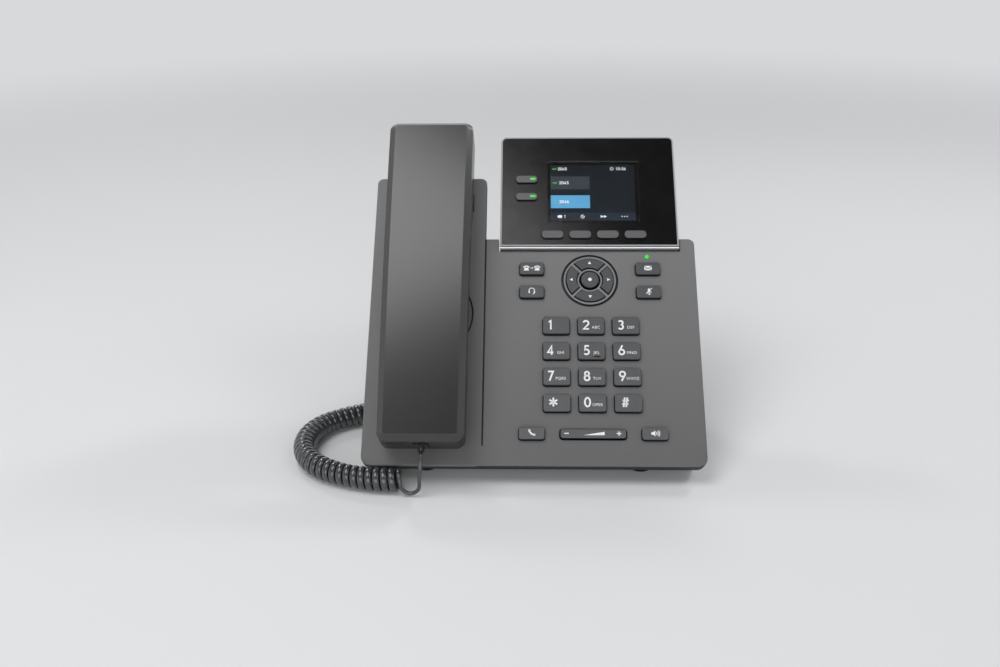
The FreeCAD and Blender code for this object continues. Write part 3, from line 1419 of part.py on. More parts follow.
def sweep_tube(edges, diameter):
    """A round tube along the edges, its volume compared with its section times its length."""
    wire = Part.Wire(edges)
    start = edges[0].valueAt(edges[0].FirstParameter)
    way = edges[0].tangentAt(edges[0].FirstParameter)
    section = Part.Wire(Part.Circle(start, way, diameter / 2).toShape())
    tube = wire.makePipeShell([section], True, False)
    expected = math.pi * diameter**2 / 4 * wire.Length
    if abs(tube.Volume / expected - 1) > 0.01:
        raise RuntimeError(f"A tube has {tube.Volume:.1f} mm3 where {expected:.1f} was expected")
    return tube


def add_shape(label, shape):
    feature = doc.addObject("Part::Feature", label)
    feature.Label = label
    feature.Shape = shape
    return feature


def make_tail(label, points):
    """A free end of the cord, from its plug to the coil."""
    edges, radii = smooth_path(points)
    print(label, "arc radii", [round(radius, 1) for radius in radii])
    return add_shape(label, sweep_tube(edges, number("size.cord_diameter")))


def biarc(start, start_way, end, end_way):
    """Two arcs that leave the first point and reach the second one along the given directions."""
    span = end - start
    both = start_way + end_way
    slack = 2 * (1 - start_way.dot(end_way))
    lean = span.dot(both)
    if slack < 1e-9:
        return [Part.LineSegment(start, end).toShape()]
    reach = (math.sqrt(lean**2 + slack * span.dot(span)) - lean) / slack
    joint = (start + end + (start_way - end_way) * reach) * 0.5
    arcs = []
    for first, way, last in [(start, start_way, joint), (end, end_way * -1, joint)]:
        chord = last - first
        half_turn = way.getAngle(chord)
        bulge = (way - chord * (way.dot(chord) / chord.dot(chord))).normalize()
        top = (first + last) * 0.5 + bulge * (chord.Length / 2 * math.tan(half_turn / 2))
        arcs.append((first, top, last))
    (first, top, last), (far, far_top, _) = arcs
    return [Part.Arc(first, top, last).toShape(), Part.Arc(last, far_top, far).toShape()]


def coil_curve():
    """The coil's line along the desk, as a function of the distance along it."""
    level = number("size.coil_radius + size.cord_diameter / 2") + FLOOR_GAP
    edges, radii = smooth_path([Vector(x, y, level) for x, y in COIL_LINE])
    print("cord_coil line radii", [round(radius, 1) for radius in radii])
    lengths = [edge.Length for edge in edges]

    def at(distance):
        for edge, length in zip(edges, lengths):
            if distance <= length or edge is edges[-1]:
                spot = edge.getParameterByLength(min(max(distance, 0), length))
                return edge.valueAt(spot), edge.tangentAt(spot)
            distance -= length

    return at, sum(lengths)


def coil_points():
    """Points and directions along the coiled wire, half a turn apart, which run out straight at both ends."""
    at, total = coil_curve()
    radius, pitch, lead = (number(f"size.coil_{part}") for part in ("radius", "pitch", "lead"))
    start_angle = math.radians(number("size.coil_start_angle"))
    turns = round((total - lead) / pitch)

    def rate(distance):
        """Turning per millimetre, which fades to nothing at the two ends."""
        share = min(1, distance / lead, (total - distance) / lead)
        return 2 * math.pi * turns / (total - lead) * share**2 * (3 - 2 * share)

    def spot(distance, angle):
        centre, way = at(distance)
        side, up = Vector(-way.y, way.x, 0), Vector(0, 0, 1)
        out = side * math.cos(angle) + up * math.sin(angle)
        around = up * math.cos(angle) - side * math.sin(angle)
        return centre + out * radius, (way + around * (radius * rate(distance))).normalize()

    made, angle, distance, marched = [spot(0, start_angle)], start_angle, 0, 0
    while total - distance > COIL_STEP / 2:
        step = min(COIL_STEP, total - distance)
        turned = rate(distance + step / 2) * step
        angle += turned
        distance += step
        marched += turned / math.pi + step / (3 * pitch)
        if marched >= 1:
            made.append(spot(distance, angle))
            marched = 0
    made[-1 if marched < 0.4 else len(made):] = [spot(total, angle)]
    print("cord_coil turns", turns, "over", round(total, 1), "mm")
    return made


def least_gap(edges, diameter):
    """The least clear distance between parts of the wire that lie more than half a turn apart."""
    samples, travelled = [], 0
    for edge in edges:
        spots = edge.discretize(9)
        share = edge.Length / (len(spots) - 1)
        samples += [(travelled + k * share, spot) for k, spot in enumerate(spots[:-1])]
        travelled += edge.Length
    apart = math.pi * number("size.coil_radius")
    window = 4 * apart
    least = window
    for i, (place, spot) in enumerate(samples):
        for other_place, other in samples[i + 1:]:
            if other_place - place > window:
                break
            if other_place - place > apart:
                least = min(least, (other - spot).Length)
    return least - diameter


def make_cord_coil(points):
    """The curly stretch: one unbroken tube wound along its line, straight at both ends."""
    diameter = number("size.cord_diameter")
    first, first_way = points[0]
    last, last_way = points[-1]
    edges = [Part.LineSegment(first - first_way * diameter, first).toShape()]
    for (start, start_way), (end, end_way) in zip(points, points[1:]):
        edges += biarc(start, start_way, end, end_way)
    edges.append(Part.LineSegment(last, last + last_way * diameter).toShape())
    tightest = min(edge.Curve.Radius for edge in edges if edge.Curve.TypeId == "Part::GeomCircle")
    print("cord_coil wire length", round(sum(edge.Length for edge in edges), 1))
    print("cord_coil tightest radius", round(tightest, 2))
    print("cord_coil least gap to itself", round(least_gap(edges, diameter), 2))
    return add_shape("cord_coil", sweep_tube(edges, diameter))


def make_cord():
    """The whole cord, from the handset's plug to the plug in the port box: two plugs and three tubes."""
    diameter = number("size.cord_diameter")
    lead, base_lead = number("size.tail_lead"), number("size.base_tail_lead")
    points = coil_points()
    coil = make_cord_coil(points)
    first, first_way = points[0]
    last, last_way = points[-1]
    # The handset's plug lies in the notch of the cover and points down the face
    level = "place.plug_level"
    plug_v = "size.handset_base - size.plug_proud"
    handset_plug = make_plug("handset_plug", "place.handset_u", plug_v, level)
    exit_v = f"({plug_v} - size.relief_length)"
    lead_v = f"({exit_v} - size.tail_lead)"
    route = [Vector(number("place.handset_u"), number(desk_y(v, level)), number(desk_z(v, level)))
             for v in (exit_v, lead_v)]
    route += [Vector(*point) for point in HANDSET_TAIL]
    route += [first - first_way * (diameter + lead), first - first_way * diameter]
    handset_tail = make_tail("handset_tail", route)
    # The other plug stands in the first socket of the port box. It is drawn facing the front and turned round.
    plug_y = "size.port_back + size.plug_proud"
    level = "place.jack_floor + size.socket_sill + size.cord_socket_height / 2"
    base_plug = make_plug("base_plug", "-(size.cord_jack_first)", f"-({plug_y})", level)
    base_plug.Placement = FreeCAD.Placement(Vector(), FreeCAD.Rotation(Vector(0, 0, 1), 180))
    exit_y = number(f"{plug_y} + size.relief_length")
    route = [Vector(number("size.cord_jack_first"), y, number(level)) for y in (exit_y, exit_y + lead)]
    route += [Vector(*point) for point in BASE_TAIL]
    route += [last + last_way * (diameter + base_lead), last + last_way * diameter]
    base_tail = make_tail("base_tail", route)
    return handset_plug, [handset_tail, coil, base_tail, base_plug]


# Assembly


def make_face_pieces():
    """Every piece that is drawn in the face frame, the cord left out."""
    made = [make_front_housing(), make_rear_housing()] + make_boards()
    made += [make_key(*spot) for spot in key_spots()]
    made += [make_key(*spot, screen=True) for spot in screen_key_spots()]
    made += [make_nav_key(label, turn) for label, turn in NAV_TURNS.items()]
    made += [make_nav_ok(), make_nav_ring(), make_volume_rocker(), make_message_light()]
    made += [make_display_frame(), make_display_trim(), make_faceplate(), make_display_back_cover()]
    made += make_screen()
    made += [make_loudspeaker(), make_hook_switch(), make_housing_screws()]
    made += [make_handset_back_shell(), make_handset_front_cover()] + make_capsules()
    return made


def depth_range(pieces, frame):
    """The least and the greatest depth of some pieces, once they are set in their frame."""
    boxes = []
    for piece in pieces:
        shape = piece.Shape.copy()
        shape.Placement = frame.multiply(shape.Placement)
        boxes.append(shape.optimalBoundingBox())
    return min(box.YMin for box in boxes), max(box.YMax for box in boxes)


def main():
    face_pieces = make_face_pieces()
    desk_pieces = make_jacks() + [make_desk_stand(), make_rubber_feet()]
    handset_plug, cord_pieces = make_cord()
    tilt = FreeCAD.Rotation(Vector(1, 0, 0), number("size.tilt"))
    face_frame = FreeCAD.Placement(Vector(0, 0, number("size.face_lift")), tilt)
    depths = depth_range(face_pieces, face_frame) + depth_range(desk_pieces, FreeCAD.Placement())
    # The origin is on the desk, under the middle of the phone
    shift = -(min(depths) + max(depths)) / 2
    print("shift along y", round(shift, 4))
    desk_frame = FreeCAD.Placement(Vector(0, shift, 0), FreeCAD.Rotation())
    face_frame = desk_frame.multiply(face_frame)
    face_pieces.append(handset_plug)
    desk_pieces += cord_pieces
    for frame, pieces in [(face_frame, face_pieces), (desk_frame, desk_pieces)]:
        for piece in pieces:
            piece.Placement = frame.multiply(piece.Placement)
    doc.recompute()
    broken = [item.Label for item in doc.Objects if "Invalid" in item.State or "Error" in item.State]
    if broken:
        raise RuntimeError(f"These features failed: {broken}")
    os.makedirs("parts", exist_ok=True)
    for piece in face_pieces + desk_pieces:
        if piece.Shape.isNull() or not piece.Shape.isValid():
            raise RuntimeError(f"{piece.Label} has no valid shape")
        piece.Shape.exportStep(f"parts/{piece.Label}.step")
    print(len(face_pieces + desk_pieces), "pieces written")


main()
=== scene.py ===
import math

import bmesh
import bpy
import numpy as np
from mathutils import Matrix, Vector


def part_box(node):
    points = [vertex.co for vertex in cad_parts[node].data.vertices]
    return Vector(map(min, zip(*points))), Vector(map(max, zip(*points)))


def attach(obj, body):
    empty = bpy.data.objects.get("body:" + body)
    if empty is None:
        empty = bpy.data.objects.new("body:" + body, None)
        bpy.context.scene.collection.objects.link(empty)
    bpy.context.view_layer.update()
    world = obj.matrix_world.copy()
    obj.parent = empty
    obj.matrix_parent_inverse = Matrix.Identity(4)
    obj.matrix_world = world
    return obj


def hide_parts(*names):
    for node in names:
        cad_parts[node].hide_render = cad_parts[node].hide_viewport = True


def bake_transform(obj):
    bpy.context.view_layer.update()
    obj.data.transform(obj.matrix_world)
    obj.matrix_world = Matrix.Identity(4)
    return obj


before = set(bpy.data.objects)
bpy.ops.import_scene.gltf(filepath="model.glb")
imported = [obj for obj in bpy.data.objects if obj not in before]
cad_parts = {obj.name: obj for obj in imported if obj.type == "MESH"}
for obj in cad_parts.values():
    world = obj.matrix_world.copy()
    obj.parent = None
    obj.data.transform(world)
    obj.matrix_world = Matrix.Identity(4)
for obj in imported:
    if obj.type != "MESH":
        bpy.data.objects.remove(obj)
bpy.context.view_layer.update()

# Points on the face are millimetres: u to the right, v up the face and w out of it. Points on the desk are
# millimetres too: x to the right, y to the back from the face's bottom edge and z up from the desk.
TILT = math.radians(44)
SHIFT = -71.7469
LIFT = 12
FACE = Matrix.Translation((0, SHIFT / 1000, LIFT / 1000)) @ Matrix.Rotation(TILT, 4, "X")


def middle_x(node):
    """Where the middle of a piece lies, in millimetres to the right."""
    low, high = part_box(node)
    return (low[0] + high[0]) * 500


PANEL_U = middle_x("display_frame")
HANDSET_U = middle_x("handset_back_shell")
LCD_U, LCD_V = PANEL_U + 2.75, 163.62
LCD_WIDTH, LCD_HEIGHT = 48.96, 36.72
TRIM_LOW = min((FACE.inverted() @ p.co).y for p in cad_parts["display_trim"].data.vertices) * 1000

# ---------------------------------------------------------------------------------------------- materials

# Sockets of a colour mix
MIX_FACTOR, MIX_FIRST, MIX_SECOND, MIX_RESULT = 0, 6, 7, 2
GRAIN_LOW, GRAIN_HIGH = 0.3, 0.7
EDGE_SAMPLES = 4
# The share of a lit surface's colour that it has when it is off
LIT_BASE = 0.3
SHARP_ANGLE = math.radians(28)


def linear(code, share=1):
    """A colour code, or a share of its light, as the linear values that a shader takes."""
    parts = [int(code[i : i + 2], 16) / 255 for i in (1, 3, 5)]
    return [share * (c / 12.92 if c <= 0.04045 else ((c + 0.055) / 1.055) ** 2.4) for c in parts] + [1]


def join(tree, *links):
    """Links from socket to socket."""
    for begin, end in links:
        tree.links.new(begin, end)


def add_range(tree, value, low, high, first=0, last=1):
    """The value, with low to high taken over to first to last."""
    mapping = tree.nodes.new("ShaderNodeMapRange")
    for socket, number in zip(("From Min", "From Max", "To Min", "To Max"), (low, high, first, last)):
        mapping.inputs[socket].default_value = number
    join(tree, (value, mapping.inputs["Value"]))
    return mapping.outputs["Result"]


def add_math(tree, operation, *values):
    """One or two values, put through a sum of that kind."""
    item = tree.nodes.new("ShaderNodeMath")
    item.operation = operation
    join(tree, *zip(values, item.inputs))
    return item.outputs[0]


def new_group(name, inputs, outputs):
    """An empty node group with those sockets, and its two inner ends."""
    tree = bpy.data.node_groups.new(name, "ShaderNodeTree")
    for in_out, sockets in (("INPUT", inputs), ("OUTPUT", outputs)):
        for label, kind in sockets.items():
            tree.interface.new_socket(label, in_out=in_out, socket_type="NodeSocket" + kind)
    return tree, tree.nodes.new("NodeGroupInput").outputs, tree.nodes.new("NodeGroupOutput").inputs


def fine_grain():
    """Spark-eroded relief, the unevenness of the gloss that goes with it, and edges that are rounded off."""
    tree, given, result = new_group(
        "fine_grain",
        {"Vector": "Vector", "Scale": "Float", "Detail": "Float", "Smoothest": "Float", "Roughest": "Float",
         "Depth": "Float", "Strength": "Float", "Edge": "Float"},
        {"Roughness": "Float", "Normal": "Vector"},
    )
    texture = tree.nodes.new("ShaderNodeTexNoise")
    gloss = tree.nodes.new("ShaderNodeMapRange")
    relief = tree.nodes.new("ShaderNodeBump")
    softened = tree.nodes.new("ShaderNodeBevel")
    softened.samples = EDGE_SAMPLES
    gloss.inputs["From Min"].default_value = GRAIN_LOW
    gloss.inputs["From Max"].default_value = GRAIN_HIGH
    join(
        tree,
        (given["Vector"], texture.inputs["Vector"]),
        (given["Scale"], texture.inputs["Scale"]),
        (given["Detail"], texture.inputs["Detail"]),
        (texture.outputs["Fac"], gloss.inputs["Value"]),
        (given["Smoothest"], gloss.inputs["To Min"]),
        (given["Roughest"], gloss.inputs["To Max"]),
        (given["Edge"], softened.inputs["Radius"]),
        (softened.outputs["Normal"], relief.inputs["Normal"]),
        (given["Strength"], relief.inputs["Strength"]),
        (given["Depth"], relief.inputs["Distance"]),
        (texture.outputs["Fac"], relief.inputs["Height"]),
        (gloss.outputs["Result"], result["Roughness"]),
        (relief.outputs["Normal"], result["Normal"]),
    )
    return tree


def colour_clouds():
    """A colour that drifts between two near values, as moulded pigment does."""
    tree, given, result = new_group(
        "colour_clouds",
        {"Vector": "Vector", "Scale": "Float", "Detail": "Float", "Dark": "Color", "Light": "Color"},
        {"Colour": "Color"},
    )
    texture = tree.nodes.new("ShaderNodeTexNoise")
    blend = tree.nodes.new("ShaderNodeMix")
    blend.data_type = "RGBA"
    join(
        tree,
        (given["Vector"], texture.inputs["Vector"]),
        (given["Scale"], texture.inputs["Scale"]),
        (given["Detail"], texture.inputs["Detail"]),
        (texture.outputs["Fac"], blend.inputs[MIX_FACTOR]),
        (given["Dark"], blend.inputs[MIX_FIRST]),
        (given["Light"], blend.inputs[MIX_SECOND]),
        (blend.outputs[MIX_RESULT], result["Colour"]),
    )
    return tree


FINE_GRAIN, COLOUR_CLOUDS = fine_grain(), colour_clouds()


class Shade:
    """A material under construction, with patterns that lie along u, v and w."""

    def __init__(self, name, **constants):
        self.material = bpy.data.materials.new(name)
        self.material.use_nodes = True
        self.tree = self.material.node_tree
        self.shader = self.tree.nodes["Principled BSDF"]
        for socket, value in constants.items():
            self.shader.inputs[socket.replace("_", " ")].default_value = value
        self.coords = self.node("ShaderNodeTexCoord").outputs["Object"]
        turn = self.node("ShaderNodeMapping")
        back = Matrix.Rotation(-TILT, 3, "X") @ Vector((0, -SHIFT / 1000, -LIFT / 1000))
        turn.inputs["Rotation"].default_value = (-TILT, 0, 0)
        turn.inputs["Location"].default_value = back
        self.link(self.coords, turn.inputs["Vector"])
        self.place = turn.outputs["Vector"]
        self.axes = self.node("ShaderNodeSeparateXYZ")
        self.link(self.place, self.axes.inputs[0])

    def node(self, kind):
        return self.tree.nodes.new(kind)

    def link(self, start, end):
        join(self.tree, (start, end))

    def along(self, axis, low, high):
        """0 to 1 between two millimetre values along u, v or w."""
        return add_range(self.tree, self.axes.outputs["uvw".index(axis)], low / 1000, high / 1000)

    def mix(self, factor, first, second):
        """Two colours, or links to colours, mixed."""
        blend = self.node("ShaderNodeMix")
        blend.data_type = "RGBA"
        self.link(factor, blend.inputs[MIX_FACTOR])
        for socket, colour in ((blend.inputs[MIX_FIRST], first), (blend.inputs[MIX_SECOND], second)):
            if isinstance(colour, str):
                socket.default_value = linear(colour)
            else:
                self.link(colour, socket)
        return blend.outputs[MIX_RESULT]

    def place_group(self, group, stretch, values):
        """A shared effect with its own values, stretched along u, v and w if that is given."""
        item = self.node("ShaderNodeGroup")
        item.node_tree = group
        place = self.place
        if stretch:
            squeeze = self.node("ShaderNodeMapping")
            squeeze.inputs["Scale"].default_value = stretch
            self.link(place, squeeze.inputs["Vector"])
            place = squeeze.outputs["Vector"]
        self.link(place, item.inputs["Vector"])
        for label, value in values.items():
            item.inputs[label].default_value = value
        return item.outputs

    def clouds(self, scale, dark, light, detail=4, stretch=None, share=1):
        """A colour that drifts between two codes, or between that share of them."""
        values = {"Scale": scale, "Detail": detail, "Dark": linear(dark, share), "Light": linear(light, share)}
        return self.place_group(COLOUR_CLOUDS, stretch, values)["Colour"]

    def base(self, colour):
        self.link(colour, self.shader.inputs["Base Color"])
        return self

    def grain(self, scale, smoothest, roughest, depth, strength=0.5, edge=0, detail=2, stretch=None):
        """Relief of that depth in millimetres, with edges that are rounded off by that much."""
        values = {"Scale": scale, "Detail": detail, "Smoothest": smoothest, "Roughest": roughest,
                  "Depth": depth / 1000, "Strength": strength, "Edge": edge / 1000}
        made = self.place_group(FINE_GRAIN, stretch, values)
        self.link(made["Roughness"], self.shader.inputs["Roughness"])
        self.link(made["Normal"], self.shader.inputs["Normal"])
        return self.material


def moulded(name, dark, light, rough, grain=1900, depth=0.02, edge=0, uneven=0.05, strength=0.5, **constants):
    """Moulded plastic with a fine grain and slight clouds in its colour."""
    shade = Shade(name, **constants)
    shade.base(shade.clouds(26, dark, light))
    return shade.grain(grain, rough - uneven, rough + uneven, depth, strength, edge)


def plain(name, scale, dark, light, smoothest, roughest, depth, strength=0.5, detail=3, edge=0, **constants):
    """A finish of one colour and one grain."""
    shade = Shade(name, **constants)
    shade.base(shade.clouds(scale, dark, light, detail))
    return shade.grain(scale, smoothest, roughest, depth, strength, edge, detail)


def housing_plastic():
    """The face and the cradle, with painted light that makes them a little lighter towards the top."""
    shade = Shade("housing_plastic")
    low = shade.clouds(24, "#5e5e5f", "#626263")
    high = shade.clouds(24, "#747475", "#787879")
    # Painted light: the face is a little lighter towards the top
    face = shade.mix(shade.along("v", 0, 150), low, high)
    # The narrow groove beside the cradle and the pockets round the keys are in deep shade
    shallow = shade.mix(shade.along("w", -0.6, -0.15), "#0e0e0f", face)
    deep = shade.mix(shade.along("w", -1.8, -1.2), "#161617", face)
    shade.base(shade.mix(shade.along("u", -31, -30), deep, shallow))
    return shade.grain(1700, 0.46, 0.58, 0.02, edge=0.35)


def key_plastic(name, low, high, sides, edge):
    """A key's colour, with painted shade that makes it dark below that level, and painted light that makes it a
    little lighter lower down the face.
    """
    shade = Shade(name)
    top = shade.mix(shade.along("v", 10, 120), shade.clouds(120, *low), shade.clouds(120, *high))
    # Painted shade: the key's sides below the level of its top are dark
    shade.base(shade.mix(shade.along("w", edge - 0.35, edge + 0.35), sides, top))
    return shade.grain(2600, 0.38, 0.48, 0.012, edge=0.25)


def nav_ring_plastic():
    """The ring round the navigation keys, with painted shade that makes it dark down in its gaps."""
    shade = Shade("nav_ring_plastic")
    top = shade.clouds(60, "#7b7c7e", "#88898b")
    # Painted shade: the ring is near black below its rim and spokes
    shade.base(shade.mix(shade.along("w", -0.7, -0.2), "#0d0d0e", top))
    return shade.grain(2400, 0.38, 0.48, 0.012, edge=0.25)


def glass(name):
    """Clear, polished acrylic."""
    shade = Shade(name, Transmission_Weight=1.0, IOR=1.3, Roughness=0.0)
    return shade.base(shade.clouds(40, "#f2f4f6", "#fbfcfd")).material


def lit(name, dark, light, strength, grid=700):
    """A lit surface, with the fine rows of a screen's dots where the grid is fine."""
    shade = Shade(name, Specular_IOR_Level=0.2, Emission_Strength=strength)
    shade.base(shade.clouds(grid, dark, light, 2, share=LIT_BASE))
    shade.link(shade.clouds(grid, dark, light, 2), shade.shader.inputs["Emission Color"])
    return shade.grain(grid, 0.36, 0.44, 0.003, 0.2)


def screen_ground():
    """The dark ground of the lit picture, lightest along its foot."""
    shade = Shade("screen_ground", Specular_IOR_Level=0.2, Emission_Strength=1.0)
    tall = shade.along("v", LCD_V - LCD_HEIGHT / 2, LCD_V + LCD_HEIGHT / 2)
    wide = shade.along("u", LCD_U - LCD_WIDTH / 2, LCD_U + LCD_WIDTH / 2)
    glow = shade.mix(wide, "#0d1015", "#10161c")
    colour = shade.mix(tall, shade.clouds(5000, "#151b21", "#192128", 1), glow)
    shade.base(shade.clouds(5000, "#08090a", "#0d0e10", 1))
    shade.link(colour, shade.shader.inputs["Emission Color"])
    return shade.grain(5000, 0.36, 0.44, 0.002, 0.2, detail=1)


def bright_strip():
    """The strip under the faceplate, brushed along its length, with a painted reflection that makes its lower
    edge white.
    """
    shade = Shade("bright_strip")
    brushed = {"detail": 5, "stretch": (0.05, 14, 14)}
    polished = shade.clouds(260, "#fbfbfc", "#ffffff", **brushed)
    # Its lower edge is a bright trim whose white is a painted reflection: the rest is painted like the pieces
    # above and below it, and painted light lifts its shaded underside to a mid grey
    front = shade.mix(shade.along("v", TRIM_LOW + 0.55, TRIM_LOW + 0.75), polished, "#060607")
    shade.base(shade.mix(shade.along("w", 2.45, 2.6), "#8c8c8d", front))
    return shade.grain(260, 0.24, 0.36, 0.004, **brushed)


MATERIALS = {
    "housing": housing_plastic(),
    "shell": moulded("shell_plastic", "#4f5052", "#56575a", 0.52, edge=0.35),
    "handset": moulded(
        "handset_plastic", "#191919", "#1d1d1d", 0.265, 900, 0.001, uneven=0.004, strength=0.04,
        Specular_IOR_Level=0.9,
    ),
    "key": key_plastic("key_plastic", ("#545658", "#5c5e60"), ("#44474a", "#4c4f51"), "#0a0a0b", 1.75),
    "nav_key": key_plastic("nav_key_plastic", ("#4d4f51", "#545658"), ("#434547", "#4a4c4e"), "#09090a", 0.6),
    "screen_key": key_plastic(
        "screen_key_plastic", ("#5e6062", "#666769"), ("#58595b", "#5f6062"), "#09090a", 3.7
    ),
    "nav_ring": nav_ring_plastic(),
    "frame": moulded("frame_plastic", "#9a9c9e", "#a6a8aa", 0.4),
    "gloss": plain(
        "gloss_plastic", 160, "#070708", "#0b0b0c", 0.17, 0.23, 0.002, 0.3, Specular_IOR_Level=0.42
    ),
    "lens": glass("lens_acrylic"),
    "pipe": lit("light_pipe_lit", "#2cc838", "#46e24c", 1.0),
    "led": lit("key_lamp_lit", "#3cd23f", "#5ae85a", 0.9),
    "ground": screen_ground(),
    "tile": lit("screen_tile", "#30373c", "#383f44", 1.0, 5000),
    "tile_blue": lit("screen_tile_blue", "#5599c4", "#60a5d0", 1.0, 5000),
    "bar": lit("screen_bar", "#1f262e", "#272e38", 1.0, 5000),
    "dots": lit("screen_dots", "#e2e6ea", "#f6f8fa", 1.0, 5000),
    "dots_green": lit("screen_dots_green", "#3fae48", "#5fd266", 1.0, 5000),
    "panel": moulded("panel_glass", "#07080a", "#0b0c0f", 0.2, depth=0.001),
    "trim": bright_strip(),
    "steel": plain("screw_steel", 900, "#8d8e90", "#b4b5b7", 0.24, 0.4, 0.008, detail=5, Metallic=1.0),
    "board": plain(
        "board_laminate", 1500, "#10391f", "#1b5531", 0.3, 0.45, 0.01, Coat_Weight=0.3, Coat_Roughness=0.2
    ),
    "rubber": plain(
        "rubber_foot", 1200, "#101011", "#1c1c1d", 0.72, 0.86, 0.03, detail=4, Specular_IOR_Level=0.3
    ),
    "cord": plain(
        "cord_jacket", 1400, "#2c2d2f", "#363739", 0.24, 0.34, 0.01, Coat_Weight=1.0, Coat_Roughness=0.1
    ),
    "plug": plain(
        "plug_plastic", 500, "#2a2b2d", "#3b3c3f", 0.14, 0.26, 0.006, Transmission_Weight=0.35, IOR=1.5
    ),
    "jack": moulded("jack_plastic", "#141415", "#1d1d1f", 0.4),
    "mat": moulded("key_mat_rubber", "#4b4d50", "#585a5d", 0.7),
    "cone": moulded("cone_paper", "#191919", "#232323", 0.8, 900, 0.05),
    "hook": moulded("hook_plastic", "#151516", "#1d1d1e", 0.42),
    "ink": plain("white_ink", 3200, "#e4e6e7", "#f4f5f6", 0.45, 0.6, 0.004, 0.3, Specular_IOR_Level=0.4),
    # Dark print, and also the painted shadow along the edge of the loudspeaker's dish
    "print_and_shade_dark": plain("dark_print_and_painted_shade", 3200, "#050505", "#0a0a0b", 0.45, 0.6, 0.004, 0.3, Specular_IOR_Level=0.4),
}

NODE_LOOKS = {
    "front_housing": "housing",
    "rear_housing": "shell",
    "desk_stand": "shell",
    "display_frame": "frame",
    "display_back_cover": "shell",
    "handset_back_shell": "handset",
    "handset_front_cover": "handset",
    "handset_receiver": "cone",
    "handset_mic": "cone",
    "loudspeaker": "cone",
    "hook_switch": "hook",
    "nav_ring": "nav_ring",
    "faceplate": "gloss",
    "display_lens": "lens",
    "lcd_panel": "panel",
    "display_trim": "trim",
    "message_light": "pipe",
    "main_board": "board",
    "display_board": "board",
    "port_board": "board",
    "key_mat": "mat",
    "rubber_feet": "rubber",
    "housing_screws": "steel",
    "network_jacks": "jack",
    "cord_jacks": "jack",
    "handset_plug": "plug",
    "base_plug": "plug",
}


def look_of(node):
    """The finish of a piece: those that are not in the list are keys."""
    if node in NODE_LOOKS:
        return NODE_LOOKS[node]
    if node.startswith("nav_"):
        return "nav_key"
    return "screen_key" if node.startswith(("line_", "soft_")) else "key"


for node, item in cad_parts.items():
    item.data.materials.clear()
    item.data.materials.append(MATERIALS[look_of(node)])
    item.data.shade_smooth()
    item.data.set_sharp_from_angle(angle=SHARP_ANGLE)


def add_piece(name, bm, material):
    """The finished mesh as a piece of the scene."""
    mesh = bpy.data.meshes.new(name)
    bm.to_mesh(mesh)
    bm.free()
    mesh.materials.append(material)
    piece = bpy.data.objects.new(name, mesh)
    bpy.context.collection.objects.link(piece)
    return piece


def mesh_of(curve):
    """A curve's mesh, which takes the curve's place."""
    holder = bpy.data.objects.new(curve.name, curve)
    mesh = bpy.data.meshes.new_from_object(holder)
    bpy.data.objects.remove(holder)
    bpy.data.curves.remove(curve)
    return mesh


# --------------------------------------------------------------------------------------------------- cord

HANDSET_EXIT = (HANDSET_U, -6.22, 24.48)
HANDSET_TAIL = [
    HANDSET_EXIT,
    (HANDSET_U, -9.81, 21.01),
    (-58.9, -12, 15),
    (-59.3, -12, 9.6),
    (-59.4, -11.9, 5.9),
    (-60.8, -11.7, 3.5),
    (-63.1, -11.4, 2.2),
    (-65.9, -11.2, 2.2),
    (-68.2, -11, 3.5),
    (-69.6, -10.8, 5.9),
]
COIL_LINE = [
    (-69.6, -5.4),
    (-79, -5.4),
    (-90.5, -3.6),
    (-104, 0.6),
    (-116.9, 8),
    (-125.1, 18.2),
    (-128.7, 30.9),
    (-127.1, 43.8),
    (-120.4, 55.3),
    (-109, 63),
    (-97, 67.6),
    (-85, 73.4),
    (-75, 81.6),
    (-68.6, 92.2),
    (-66, 104),
    (-66, 112),
]
BASE_TAIL = [
    (-68.81, 114.6, 2.24),
    (-68.81, 121.6, 2.24),
    (-64, 126.6, 2.24),
    (-56.5, 127.3, 2.3),
    (-48.8, 125, 4.4),
    (-42.8, 119.8, 9.2),
    (-38.8, 112.6, 15.6),
    (-36.8, 104.3, 22.2),
    (-36, 96.2, 27.65),
    (-36, 91.2, 27.65),
]
# The curly part's height above the desk, the radius and number of its turns, and the angle at which the first
# turn starts
COIL_HEIGHT = 6.5
COIL_RADIUS = 5.3
COIL_TURNS = 44 - 68 / 360
COIL_START = math.radians(13)
# The millimetres over which the turns begin and end, and the share of a full turn that they begin with
COIL_LEADS = 1.6, 22
COIL_FIRST_SHARE = 0.3
# The turns are not all equally wide
LOOSE_SHARE, LOOSE_WAVE = 0.025, 160
COIL_SAMPLES = 30000
POINT_STEP = 2.3
AXIS_STEPS, WIRE_STEPS = 24, 3
WIRE_SIDES = 14
# The wire is flattened in the curly part, and the flat section grows over that many millimetres
TURN_WIDTH, TURN_HEIGHT = 3.8, 2.05
FLAT_EASE = 12


def to_metres(points):
    """Desk points in the frame that all the pieces share."""
    return (np.array(points, float) + (0, SHIFT, 0)) / 1000


def smooth_line(points, steps):
    """The points along the spline that has those points as its control points."""
    curve = bpy.data.curves.new("route", "CURVE")
    curve.dimensions = "3D"
    spline = curve.splines.new("NURBS")
    spline.points.add(len(points) - 1)
    for spot, point in zip(spline.points, points):
        spot.co = (*point, 1)
    spline.order_u = 3
    spline.use_endpoint_u = True
    spline.resolution_u = steps
    mesh = mesh_of(curve)
    line = np.array([v.co for v in mesh.vertices], float)
    bpy.data.meshes.remove(mesh)
    return line


def travelled(line):
    """How far each point of a line is along it."""
    return np.concatenate([[0], np.cumsum(np.linalg.norm(np.diff(line, axis=0), axis=1))])


def unit(vectors):
    return vectors / np.linalg.norm(vectors, axis=-1, keepdims=True)


def sampled(line, places, known):
    """The points of a line at those places along it."""
    return np.stack([np.interp(places, known, line[:, k]) for k in range(3)], axis=1)


